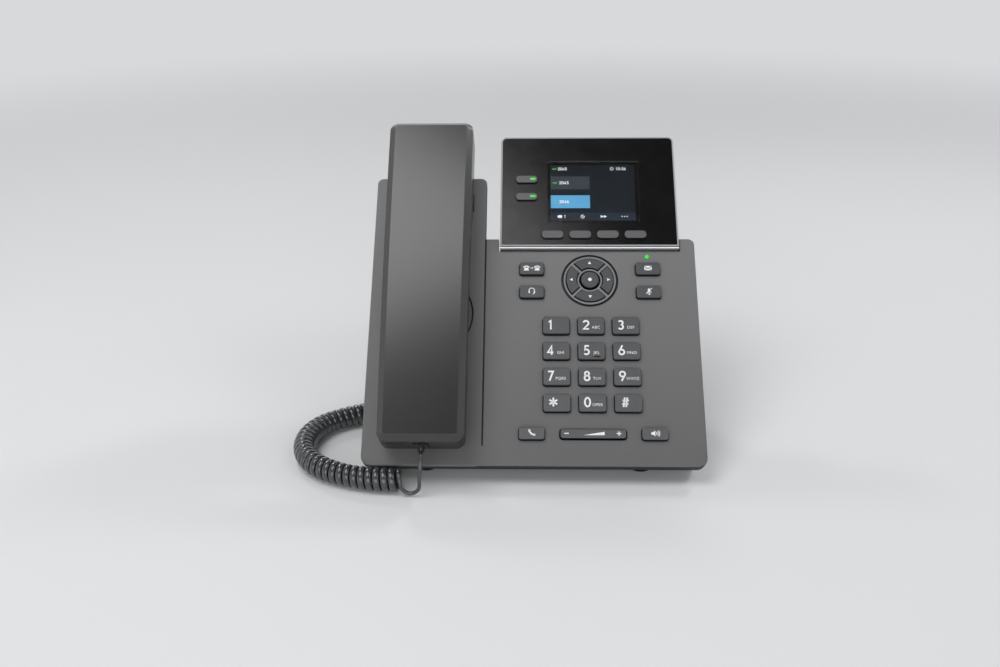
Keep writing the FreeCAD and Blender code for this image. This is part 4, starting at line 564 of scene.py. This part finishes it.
def curly_points(axis):
    """The curly part's turns round the line that it lies along, a straight lead at each end."""
    known = travelled(axis)
    places = np.linspace(0, known[-1], COIL_SAMPLES)
    centre = sampled(axis, places, known)
    way = unit(np.gradient(centre, axis=0))
    near, far = COIL_LEADS
    begun = COIL_FIRST_SHARE + places * 1000 / near
    ramp = np.clip(np.minimum(begun, (known[-1] - places) * 1000 / far), 0, 1)
    turned = np.cumsum(ramp * ramp * (3 - 2 * ramp))
    angle = COIL_START + math.tau * COIL_TURNS * (turned - turned[0]) / (turned[-1] - turned[0])
    side = np.stack([-way[:, 1], way[:, 0], 0 * places], axis=1)
    loose = 1 + LOOSE_SHARE * np.sin(places * LOOSE_WAVE) * ramp
    out = side * np.cos(angle)[:, None] + np.array((0, 0, 1)) * np.sin(angle)[:, None]
    wire = centre + out * (COIL_RADIUS / 1000) * loose[:, None]
    long = travelled(wire)
    return sampled(wire, np.arange(0, long[-1], POINT_STEP / 1000), long)


def carried_frames(line):
    """Two directions square to the line at each point, turned as little as possible from one to the next."""
    way = unit(np.gradient(line, axis=0))
    normals = [unit(np.cross(way[0], (1, 0, 0)))]
    for w in way[1:]:
        normals.append(unit(normals[-1] - w * (normals[-1] @ w)))
    normals = np.array(normals)
    return normals, np.cross(way, normals)


def build_tube(name, line, width, height, long_way, share):
    """A tube along the line, flattened where share is 1: width along long_way and height across it."""
    normals, others = carried_frames(line)
    turn = np.arctan2((long_way * others).sum(1), (long_way * normals).sum(1))
    # A flat grid, one row of squares along the line for each side, is rolled up and closed
    bm = bmesh.new()
    last = len(line) - 1
    bmesh.ops.create_grid(bm, x_segments=last, y_segments=WIRE_SIDES, size=0.5)
    for vertex in bm.verts:
        k = round((vertex.co.x + 0.5) * last)
        angle = math.tau * (round((vertex.co.y + 0.5) * WIRE_SIDES) % WIRE_SIDES) / WIRE_SIDES
        local = angle - turn[k]
        oval = 1 / math.hypot(math.cos(local) * 2 / width, math.sin(local) * 2 / height)
        reach = (1 - share[k]) * height / 2 + share[k] * oval
        vertex.co = line[k] + reach * (math.cos(angle) * normals[k] + math.sin(angle) * others[k])
    bmesh.ops.remove_doubles(bm, verts=bm.verts, dist=1e-6)
    bmesh.ops.holes_fill(bm, edges=[e for e in bm.edges if e.is_boundary])
    for face in bm.faces:
        face.smooth = len(face.verts) == 4
    bmesh.ops.recalc_face_normals(bm, faces=bm.faces)
    return add_piece(name, bm, MATERIALS["cord"])


def build_cord():
    """The cord from the handset to the socket, and the line along its middle."""
    axis = smooth_line(to_metres([(x, y, COIL_HEIGHT) for x, y in COIL_LINE]), AXIS_STEPS)
    curls = curly_points(axis)
    line = smooth_line(np.concatenate([to_metres(HANDSET_TAIL), curls, to_metres(BASE_TAIL)]), WIRE_STEPS)
    known = travelled(line)
    # How far each point is along the curly part, for the flattened section of its turns
    first = known[np.linalg.norm(line - curls[0], axis=1).argmin()]
    last = known[np.linalg.norm(line - curls[-1], axis=1).argmin()]
    share = np.clip(np.minimum(known - first, last - known) / (FLAT_EASE / 1000), 0, 1)
    nearest = np.array([np.linalg.norm(axis - p, axis=1).argmin() for p in line])
    long_way = unit(np.gradient(axis, axis=0))[nearest]
    tube = build_tube("curly_cord", line, TURN_WIDTH / 1000, TURN_HEIGHT / 1000, long_way, share)
    return tube, line


cord, cord_line = build_cord()
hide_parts("handset_tail", "cord_coil", "base_tail")
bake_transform(cord)

# ------------------------------------------------------------------------------------- signs on the pieces

# How far a sign reaches down into the piece that carries it
SIGN_ROOT = 0.05
SHARPEST_MITRE = 0.55


def arc(u, v, radius, start, stop, steps=18):
    """Points on part of a circle, or of an ellipse if the radius is a pair."""
    across, up = radius if isinstance(radius, tuple) else (radius, radius)
    turns = [math.radians(start + (stop - start) * k / steps) for k in range(steps + 1)]
    return [(u + across * math.cos(t), v + up * math.sin(t)) for t in turns]


def disc(u, v, radius, steps=24):
    return [arc(u, v, radius, 0, 360, steps)[:-1]]


def box(u, v, width, height):
    """A rectangle, with its middle at u, v."""
    left, right, low, high = u - width / 2, u + width / 2, v - height / 2, v + height / 2
    return [[(left, low), (right, low), (right, high), (left, high)]]


def band(points, width, closed=False):
    """A flat band of even width along a line, as four-cornered pieces."""
    line = [Vector(p) for p in points]
    if closed and (line[0] - line[-1]).length < 1e-6:
        line.pop()
    count = len(line)
    pairs = []
    for k, point in enumerate(line):
        ways = []
        if closed or k:
            ways.append((point - line[k - 1]).normalized())
        if closed or k < count - 1:
            ways.append((line[(k + 1) % count] - point).normalized())
        sides = [Vector((-w.y, w.x)) for w in ways]
        side = sum(sides, Vector((0, 0))).normalized()
        reach = width / 2 / max(side.dot(sides[0]), SHARPEST_MITRE)
        pairs.append((point + side * reach, point - side * reach))
    following = pairs[1:] + pairs[:1] if closed else pairs[1:]
    return [[near[0], near[1], far[1], far[0]] for near, far in zip(pairs, following)]


def moved(polygons, u=0.0, v=0.0, scale=1.0, turn=0.0):
    """Shapes that are turned and scaled about the origin, and then moved to u, v."""
    c, s = math.cos(math.radians(turn)) * scale, math.sin(math.radians(turn)) * scale
    return [[(u + c * p[0] - s * p[1], v + s * p[0] + c * p[1]) for p in polygon] for polygon in polygons]


def raised(name, body, polygons, level, look, height=0.04):
    """Flat shapes that stand a little proud of a piece, as print or a moulded sign does, or as a band of painted
    shadow.
    """
    bm = bmesh.new()
    for polygon in polygons:
        bm.faces.new([bm.verts.new((p[0], p[1], level - SIGN_ROOT)) for p in polygon])
    bmesh.ops.remove_doubles(bm, verts=bm.verts, dist=1e-4)
    bmesh.ops.recalc_face_normals(bm, faces=bm.faces)
    top = bmesh.ops.extrude_face_region(bm, geom=list(bm.faces))["geom"]
    corners = [v for v in top if isinstance(v, bmesh.types.BMVert)]
    bmesh.ops.translate(bm, vec=(0, 0, height + SIGN_ROOT), verts=corners)
    bmesh.ops.recalc_face_normals(bm, faces=bm.faces)
    bmesh.ops.transform(bm, matrix=FACE @ Matrix.Scale(0.001, 4), verts=bm.verts)
    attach(add_piece(name, bm, MATERIALS[look]), body)


# Figures one unit high, as the lines that a pen would draw and whether each line is closed
FIGURE_U, FIGURE_V = 0.31, 0.48
FIGURE_PITCH, COLON_PITCH = 0.72, 0.36
STAR_REACH = 0.43


def star_line(turn):
    """A line through the star's middle."""
    across, up = STAR_REACH * math.sin(turn), STAR_REACH * math.cos(turn)
    return [(0.31 - across, 0.5 - up), (0.31 + across, 0.5 + up)]


STROKES = {
    "0": [(arc(0.31, 0.5, (0.25, 0.43), 0, 360, 36), True)],
    "1": [([(0.16, 0.76), (0.36, 0.93), (0.36, 0.0)], False)],
    "2": [(arc(0.31, 0.67, 0.25, 165, -38) + [(0.08, 0.07), (0.6, 0.07)], False)],
    "3": [(arc(0.3, 0.715, 0.205, 150, -90), False), (arc(0.3, 0.29, 0.225, 90, -150), False)],
    "4": [([(0.6, 0.26), (0.06, 0.26), (0.43, 0.93), (0.43, 0.0)], False)],
    "5": [([(0.55, 0.93), (0.21, 0.93), (0.14, 0.5)] + arc(0.29, 0.32, 0.255, 118, -140), False)],
    "6": [(arc(0.31, 0.31, 0.25, 0, 360, 30), True), ([(0.1, 0.44), (0.4, 1.0)], False)],
    "7": [([(0.06, 0.93), (0.55, 0.93), (0.2, 0.0)], False)],
    "8": [(arc(0.31, 0.72, 0.2, 0, 360, 28), True), (arc(0.31, 0.28, 0.235, 0, 360, 28), True)],
    "9": [(arc(0.31, 0.69, 0.25, 0, 360, 30), True), ([(0.52, 0.56), (0.22, 0.0)], False)],
    "star": [(star_line(math.radians(turn)), False) for turn in (0, 60, 120)],
    "hash": [([(0.16, 0.03), (0.3, 0.97)], False), ([(0.4, 0.03), (0.54, 0.97)], False),
             ([(0.02, 0.33), (0.62, 0.33)], False), ([(0.08, 0.67), (0.68, 0.67)], False)],
}


def numeral(name, u, v, height, weight=0.165):
    """A figure of that height, with its middle at u, v."""
    shapes = []
    for points, closed in STROKES[name]:
        shapes += band(points, weight, closed)
    return moved(moved(shapes, -FIGURE_U, -FIGURE_V), u, v, height)


def number_row(text, u, v, height, weight=0.17):
    """Figures in a row that starts at u, with v as their middle."""
    shapes = []
    for figure in text:
        if figure == ":":
            shapes += disc(u + 0.2 * height, v + 0.2 * height, 0.08 * height, 10)
            shapes += disc(u + 0.2 * height, v - 0.25 * height, 0.08 * height, 10)
            u += COLON_PITCH * height
        else:
            shapes += numeral(figure, u + 0.34 * height, v, height, weight)
            u += FIGURE_PITCH * height
    return shapes


def letters(text, u, v, height, spread=1.0):
    """Capital letters in a row, centred on u, with v as their bottom."""
    curve = bpy.data.curves.new("letters", "FONT")
    curve.body = text
    curve.space_character = spread
    curve.resolution_u = 3
    mesh = mesh_of(curve)
    across = [p.co.x for p in mesh.vertices]
    # Capitals are 0.7 of the type size
    scale = height / 0.7
    shift = u - scale * (min(across) + max(across)) / 2
    corners = [(shift + scale * p.co.x, v + scale * p.co.y) for p in mesh.vertices]
    shapes = [[corners[k] for k in face.vertices] for face in mesh.polygons]
    bpy.data.meshes.remove(mesh)
    return shapes


DIGIT_ROWS = [["1", "2", "3"], ["4", "5", "6"], ["7", "8", "9"], ["star", "0", "hash"]]
KEY_LETTERS = {
    "2": "ABC", "3": "DEF", "4": "GHI", "5": "JKL", "6": "MNO", "7": "PQRS", "8": "TUV", "9": "WXYZ", "0": "OPER",
}
ROW_V, ROW_PITCH, COLUMN_PITCH = 34.63, 14.95, 19.22
# How far the figures and the letters stand from the middle of their keys, column by column
FIGURE_LEFT, LETTERS_RIGHT = (3.3, 2.8, 2.8), (2.2, 2.65, 2.7)
SINGLE_LEFT = 1.9
FIGURE_HEIGHT, LETTER_HEIGHT = 5.7, 1.6
# How far the tops of the pieces stand out from the face
KEY_TOP, ROCKER_TOP, NAV_TOP, NAV_OK_TOP, LINE_KEY_TOP = 2.7, 2.2, 1.4, 1.6, 4.4
CRADLE_TOP, PANEL_TOP = -1, 1.2


def build_digits():
    """The figures and letters on the digit keys, and the raised bar that fingers find the 5 by."""
    for row, names in enumerate(DIGIT_ROWS):
        for column, name in enumerate(names):
            u = PANEL_U + (column - 1) * COLUMN_PITCH
            v = ROW_V + (3 - row) * ROW_PITCH
            left = SINGLE_LEFT if name in ("star", "hash") else FIGURE_LEFT[column]
            shapes = numeral(name, u - left, v + 0.1, FIGURE_HEIGHT)
            if name in KEY_LETTERS:
                shapes += letters(KEY_LETTERS[name], u + LETTERS_RIGHT[column], v - 2.0, LETTER_HEIGHT, 1.05)
            raised(f"sign_{name}", f"key_{name}", shapes, KEY_TOP, "ink")
    bar = box(PANEL_U + 2.9, ROW_V + 2 * ROW_PITCH - 3.6, 3.6, 0.55)
    raised("locating_bar_5", "key_5", bar, KEY_TOP, "print_and_shade_dark", 0.3)


def desk_phone():
    """A small desk telephone seen from the front, 3.4 wide, its middle at the origin."""
    rest = arc(0, 0.25, (1.65, 1.3), 155, 25, 12) + arc(0, 0.25, (1.0, 0.62), 25, 155, 12)
    cups = box(-1.42, 0.62, 0.66, 0.8) + box(1.42, 0.62, 0.66, 0.8)
    body = [[(-1.5, -1.5), (1.5, -1.5), (0.95, 0.3), (-0.95, 0.3)]]
    return [rest] + cups + body


def headset():
    """A headband with two pads and a microphone arm."""
    hoop = band(arc(0, 0.1, 1.25, 195, -15, 24), 0.34)
    pads = box(-1.15, -0.55, 0.6, 1.05) + box(1.15, -0.55, 0.6, 1.05)
    boom = band([(1.25, -1.0), (1.0, -1.45), (0.35, -1.6)], 0.26)
    return hoop + pads + boom


def envelope():
    """A closed envelope, as its four flaps."""
    flap = [[(-1.75, 1.15), (1.75, 1.15), (0, -0.15)]]
    left = [[(-1.75, 0.75), (-0.62, -0.1), (-1.75, -1.1)]]
    right = [[(1.75, 0.75), (1.75, -1.1), (0.62, -0.1)]]
    foot = [[(-1.45, -1.15), (1.45, -1.15), (0.42, -0.24), (0, -0.52), (-0.42, -0.24)]]
    return flap + left + right + foot


def muted_microphone():
    """A microphone on its stem, struck through."""
    capsule = [arc(0.05, 0.75, 0.55, 0, 180, 12) + arc(0.05, -0.1, 0.55, 180, 360, 12)]
    cradle = band(arc(0.05, -0.05, 0.98, 190, 350, 16), 0.26)
    stem = box(0.05, -1.3, 0.28, 0.6) + box(0.05, -1.6, 1.1, 0.26)
    slash = band([(-1.35, -1.35), (1.4, 1.5)], 0.3)
    return capsule + cradle + stem + slash


def handset_mark():
    """A lifted receiver, its two ends joined by a curved grip."""
    grip = arc(0, 2.0, 2.75, 232, 308, 18) + arc(0, 2.0, 1.95, 308, 232, 18)
    end = box(0, 0, 1.05, 0.95)
    return [grip] + moved(end, -1.42, 0.1, 1, -40) + moved(end, 1.42, 0.1, 1, 40)


def loud_speaker_mark():
    """A horn with three waves."""
    horn = [[(-1.9, -0.5), (-1.2, -0.5), (-0.25, -1.25), (-0.25, 1.25), (-1.2, 0.5), (-1.9, 0.5)]]
    waves = []
    for k in range(3):
        waves += band(arc(-0.55, 0, 0.85 + 0.62 * k, -38, 38, 12), 0.3)
    return horn + waves


def volume_mark():
    """A minus, a wedge that grows and a plus."""
    low, high = BOTTOM_V - 0.95, BOTTOM_V + 0.95
    wedge = [[(PANEL_U - 5.3, low), (PANEL_U + 6.0, low), (PANEL_U + 6.0, high)]]
    minus = box(PANEL_U - 14.2, BOTTOM_V, 2.3, 0.55)
    plus_u = PANEL_U + 13.6
    plus = box(plus_u, BOTTOM_V, 2.5, 0.55)
    plus += box(plus_u, BOTTOM_V + 0.76, 0.55, 0.97) + box(plus_u, BOTTOM_V - 0.76, 0.55, 0.97)
    return wedge + minus + plus


SIDE_REACH, SIDE_HIGH, SIDE_LOW, BOTTOM_V = 32.8, 114.335, 99.985, 17.575
NAV_V, NAV_REACH = 107.81, 10.4
DISH_V, DISH_RADIUS, DISH_SHADOW_WIDTH = 87.3, 24.4, 0.9
LINE_KEY_V, LINE_KEY_PITCH, LINE_KEY_GAP, LAMP_SHIFT = 165.46, 11.5, 14.12, 3.6


def build_signs():
    """The signs on the other keys, a dark band of painted shadow along the edge of the loudspeaker's dish, and
    the lamps in the line keys.
    """
    left, right = PANEL_U - SIDE_REACH, PANEL_U + SIDE_REACH
    phones = moved(desk_phone(), left - 3.05, SIDE_HIGH) + moved(desk_phone(), left + 3.05, SIDE_HIGH)
    shaft = box(left - 0.25, SIDE_HIGH, 0.9, 0.34)
    point = [[(left + 0.2, SIDE_HIGH - 0.6), (left + 0.95, SIDE_HIGH), (left + 0.2, SIDE_HIGH + 0.6)]]
    for name, shapes in (
        ("transfer", phones + shaft + point),
        ("headset", moved(headset(), left, SIDE_LOW + 0.25, 1.25)),
        ("message", moved(envelope(), right, SIDE_HIGH, 1.2)),
        ("mute", moved(muted_microphone(), right, SIDE_LOW + 0.1, 1.25)),
        ("send", moved(handset_mark(), left, BOTTOM_V + 0.1, 1.2, -42)),
        ("speaker", moved(loud_speaker_mark(), right + 0.3, BOTTOM_V, 1.3)),
    ):
        raised(f"sign_{name}", f"{name}_key", shapes, KEY_TOP, "ink")
    raised("sign_volume", "volume_rocker", volume_mark(), ROCKER_TOP, "ink")
    tip = moved([[(1.0, 0), (-0.7, 0.95), (-0.7, -0.95)]], NAV_REACH, 0)
    for k, name in enumerate(("nav_right", "nav_up", "nav_left", "nav_down")):
        raised(f"sign_{name}", name, moved(tip, PANEL_U, NAV_V, 1, 90 * k), NAV_TOP, "ink")
    # Painted shadow: a dark band where the edge of the loudspeaker's dish falls into shade
    dish_shadow = band(arc(HANDSET_U, DISH_V, DISH_RADIUS, 0, 360, 96), DISH_SHADOW_WIDTH, True)
    raised("speaker_dish_shadow", "base", dish_shadow, CRADLE_TOP, "print_and_shade_dark", 0.03)
    raised("sign_nav_ok", "nav_ok", disc(PANEL_U, NAV_V, 1.05), NAV_OK_TOP, "ink")
    lamp_u = LCD_U - LCD_WIDTH / 2 - LINE_KEY_GAP + LAMP_SHIFT
    for k in (0, 1):
        lamp = box(lamp_u, LINE_KEY_V + (0.5 - k) * LINE_KEY_PITCH, 3.1, 1.25)
        raised(f"lamp_{k + 1}", f"line_key_{k + 1}", lamp, LINE_KEY_TOP, "led", 0.06)


def on_screen(x, y):
    """A point of the picture, as shares of its width from the left and of its height from the top."""
    return LCD_U + (x - 0.5) * LCD_WIDTH, LCD_V + (0.5 - y) * LCD_HEIGHT


def screen_box(x0, x1, y0, y1):
    """A rectangle of the picture, between those shares of its width and height."""
    (u0, v1), (u1, v0) = on_screen(x0, y0), on_screen(x1, y1)
    return [[(u0, v0), (u1, v0), (u1, v1), (u0, v1)]]


def soft_label(k, u, v):
    """A plain mark over each soft key: a tag with a number, a clock, two arrows and three dots."""
    if k == 0:
        low, high = v - 0.9, v + 0.9
        tag = [[(u - 2.6, v), (u - 1.7, high), (u + 0.3, high), (u + 0.3, low), (u - 1.7, low)]]
        return tag + numeral("1", u + 1.9, v, 1.9)
    if k == 1:
        return band(arc(u, v, 1.0, 60, 380, 20), 0.34) + band([(u, v + 0.7), (u, v), (u + 0.55, v)], 0.3)
    if k == 2:
        low, high = v - 0.85, v + 0.85
        return [[(u - 1.6, low), (u + 0.2, v), (u - 1.6, high)], [(u + 0.2, low), (u + 2.0, v), (u + 0.2, high)]]
    return disc(u - 1.5, v, 0.36, 12) + disc(u, v, 0.36, 12) + disc(u + 1.5, v, 0.36, 12)


NUMBERS = [
    (0.085, 0.068, "2045", 1.9),
    (0.1, 0.323, "2045", 2.0),
    (0.1, 0.665, "2046", 2.0),
    (0.78, 0.068, "10:24", 1.9),
]
SOFT_LABELS_X, SOFT_LABELS_Y = (0.125, 0.375, 0.62, 0.87), 0.93
FREE_LINES = (0.045, 0.068), (0.05, 0.323), (0.05, 0.665)


def build_screen():
    """The lit picture: its ground, two lines, the foot over the soft keys, and the marks on them."""
    for name, area, look, height in (
        ("screen_picture", (0, 1, 0, 1), "ground", 0.02),
        ("screen_line_1", (0, 0.465, 0.206, 0.44), "tile", 0.04),
        ("screen_line_2", (0, 0.465, 0.55, 0.78), "tile_blue", 0.04),
        ("screen_foot", (0, 1, 0.86, 1), "bar", 0.04),
    ):
        raised(name, "base", screen_box(*area), PANEL_TOP, look, height)
    marks = []
    for x, y, text, height in NUMBERS:
        marks += number_row(text, *on_screen(x, y), height)
    marks += band(arc(*on_screen(0.735, 0.068), 0.9, 0, 360, 20), 0.3, True)
    for k, x in enumerate(SOFT_LABELS_X):
        marks += soft_label(k, *on_screen(x, SOFT_LABELS_Y))
    raised("screen_marks", "base", marks, PANEL_TOP, "dots", 0.06)
    green = []
    for x, y in FREE_LINES:
        green += moved(handset_mark(), *on_screen(x, y), 0.62)
    raised("screen_lines_free", "base", green, PANEL_TOP, "dots_green", 0.06)


build_digits()
build_signs()
build_screen()

# ---------------------------------------------------------------------------------------- floor and lights

FLOOR_REACH = 4
FAR_PAPER = "#d8d9db"
# Metres from the middle over which the floor's own light takes over
PAPER_NEAR, PAPER_FAR = 0.4, 1.5
ROOM_COLOUR = (0.98, 0.985, 1, 1)


def floor_paper():
    """Pale paper, whose far part shows as pale as the near part whatever light falls on it."""
    shade = Shade("floor_paper", Specular_IOR_Level=0.1)
    shade.base(shade.clouds(3, "#e6e7e8", "#eaebec", 3))
    material = shade.grain(600, 0.85, 0.95, 0.02, 0.2)
    distance, rays = shade.node("ShaderNodeVectorMath"), shade.node("ShaderNodeLightPath")
    distance.operation = "LENGTH"
    shade.link(shade.coords, distance.inputs[0])
    far = add_range(shade.tree, distance.outputs["Value"], PAPER_NEAR, PAPER_FAR)
    far.node.interpolation_type = "SMOOTHSTEP"
    seen = rays.outputs["Is Camera Ray"]
    for ray in ("Is Glossy Ray", "Is Transmission Ray"):
        seen = add_math(shade.tree, "MAXIMUM", seen, rays.outputs[ray])
    paper, blend = shade.node("ShaderNodeEmission"), shade.node("ShaderNodeMixShader")
    paper.inputs["Color"].default_value = linear(FAR_PAPER)
    join(
        shade.tree,
        (add_math(shade.tree, "MULTIPLY", far, seen), blend.inputs[0]),
        (shade.shader.outputs[0], blend.inputs[1]),
        (paper.outputs[0], blend.inputs[2]),
        (blend.outputs[0], shade.tree.nodes["Material Output"].inputs["Surface"]),
    )
    return material


def build_floor():
    bm = bmesh.new()
    bmesh.ops.create_grid(bm, x_segments=8, y_segments=8, size=FLOOR_REACH)
    floor = add_piece("floor", bm, floor_paper())


def build_room():
    """A room that is pale round the horizon, dim overhead and a little dimmer to the sides."""
    world = bpy.data.worlds.new("studio")
    world.use_nodes = True
    tree = world.node_tree
    coords, axes = tree.nodes.new("ShaderNodeTexCoord"), tree.nodes.new("ShaderNodeSeparateXYZ")
    join(tree, (coords.outputs["Generated"], axes.inputs[0]))
    climb = add_range(tree, axes.outputs["Z"], 0.3, 0.65, 0.95, 0.1)
    aside = add_range(tree, add_math(tree, "ABSOLUTE", axes.outputs["X"]), 0.35, 0.9, 1, 0.8)
    room, seen = tree.nodes["Background"], tree.nodes.new("ShaderNodeBackground")
    room.inputs["Color"].default_value = ROOM_COLOUR
    seen.inputs["Color"].default_value = linear(FAR_PAPER)
    # The camera sees the room in the far floor's colour, so that no horizon shows
    blend, rays = tree.nodes.new("ShaderNodeMixShader"), tree.nodes.new("ShaderNodeLightPath")
    join(
        tree,
        (add_math(tree, "MULTIPLY", climb, aside), room.inputs["Strength"]),
        (rays.outputs["Is Camera Ray"], blend.inputs[0]),
        (room.outputs[0], blend.inputs[1]),
        (seen.outputs[0], blend.inputs[2]),
        (blend.outputs[0], tree.nodes["World Output"].inputs["Surface"]),
    )
    bpy.context.scene.world = world


def add_softbox(name, place, aim, width, height, brightness, spin=0):
    """A flat lamp of that brightness, facing the aim, and turned about its own middle."""
    lamp = bpy.data.lights.new(name, "AREA")
    lamp.shape = "RECTANGLE"
    lamp.size, lamp.size_y = width, height
    lamp.energy = brightness * math.pi * width * height
    item = bpy.data.objects.new(name, lamp)
    facing = (Vector(aim) - Vector(place)).to_track_quat("-Z", "Y").to_matrix().to_4x4()
    item.matrix_world = Matrix.Translation(place) @ facing @ Matrix.Rotation(math.radians(spin), 4, "Z")
    bpy.context.collection.objects.link(item)


CAMERA_PLACE = (-0.002459, SHIFT / 1000 - 0.46346, 0.29918)
CAMERA_TURNS = (math.radians(65.61), "X"), (0.0283, "Y"), (0.002, "Z")
SENSOR_WIDTH, FOCAL_LENGTH = 36, 36.85


def build_camera():
    data = bpy.data.cameras.new("camera")
    data.sensor_width = SENSOR_WIDTH
    data.lens = FOCAL_LENGTH
    camera = bpy.data.objects.new("camera", data)
    camera.matrix_world = Matrix.Translation(CAMERA_PLACE)
    for angle, axis in CAMERA_TURNS:
        camera.matrix_world = camera.matrix_world @ Matrix.Rotation(angle, 4, axis)
    bpy.context.collection.objects.link(camera)
    bpy.context.scene.camera = camera


build_floor()
build_room()
build_camera()
add_softbox("key_light", (-0.51, -0.365, 1.2), (-0.51, -0.365, 0), 0.9, 0.8, 3.3, 42)
add_softbox("fill_light", (0.78, -0.35, 1.05), (0.02, 0, 0.08), 0.6, 0.6, 2.0)
add_softbox("rim_light", (0.65, 0.5, 0.7), (0, 0.03, 0.1), 0.15, 0.2, 20)
add_softbox("back_light", (-0.55, 0.75, 0.85), (-0.08, 0, 0.08), 0.14, 0.14, 28)
add_softbox("front_light", (-0.1, -1.5, 0.55), (0, 0, 0.08), 1.4, 0.8, 1.6)
bpy.context.scene.view_settings.view_transform = "Standard"
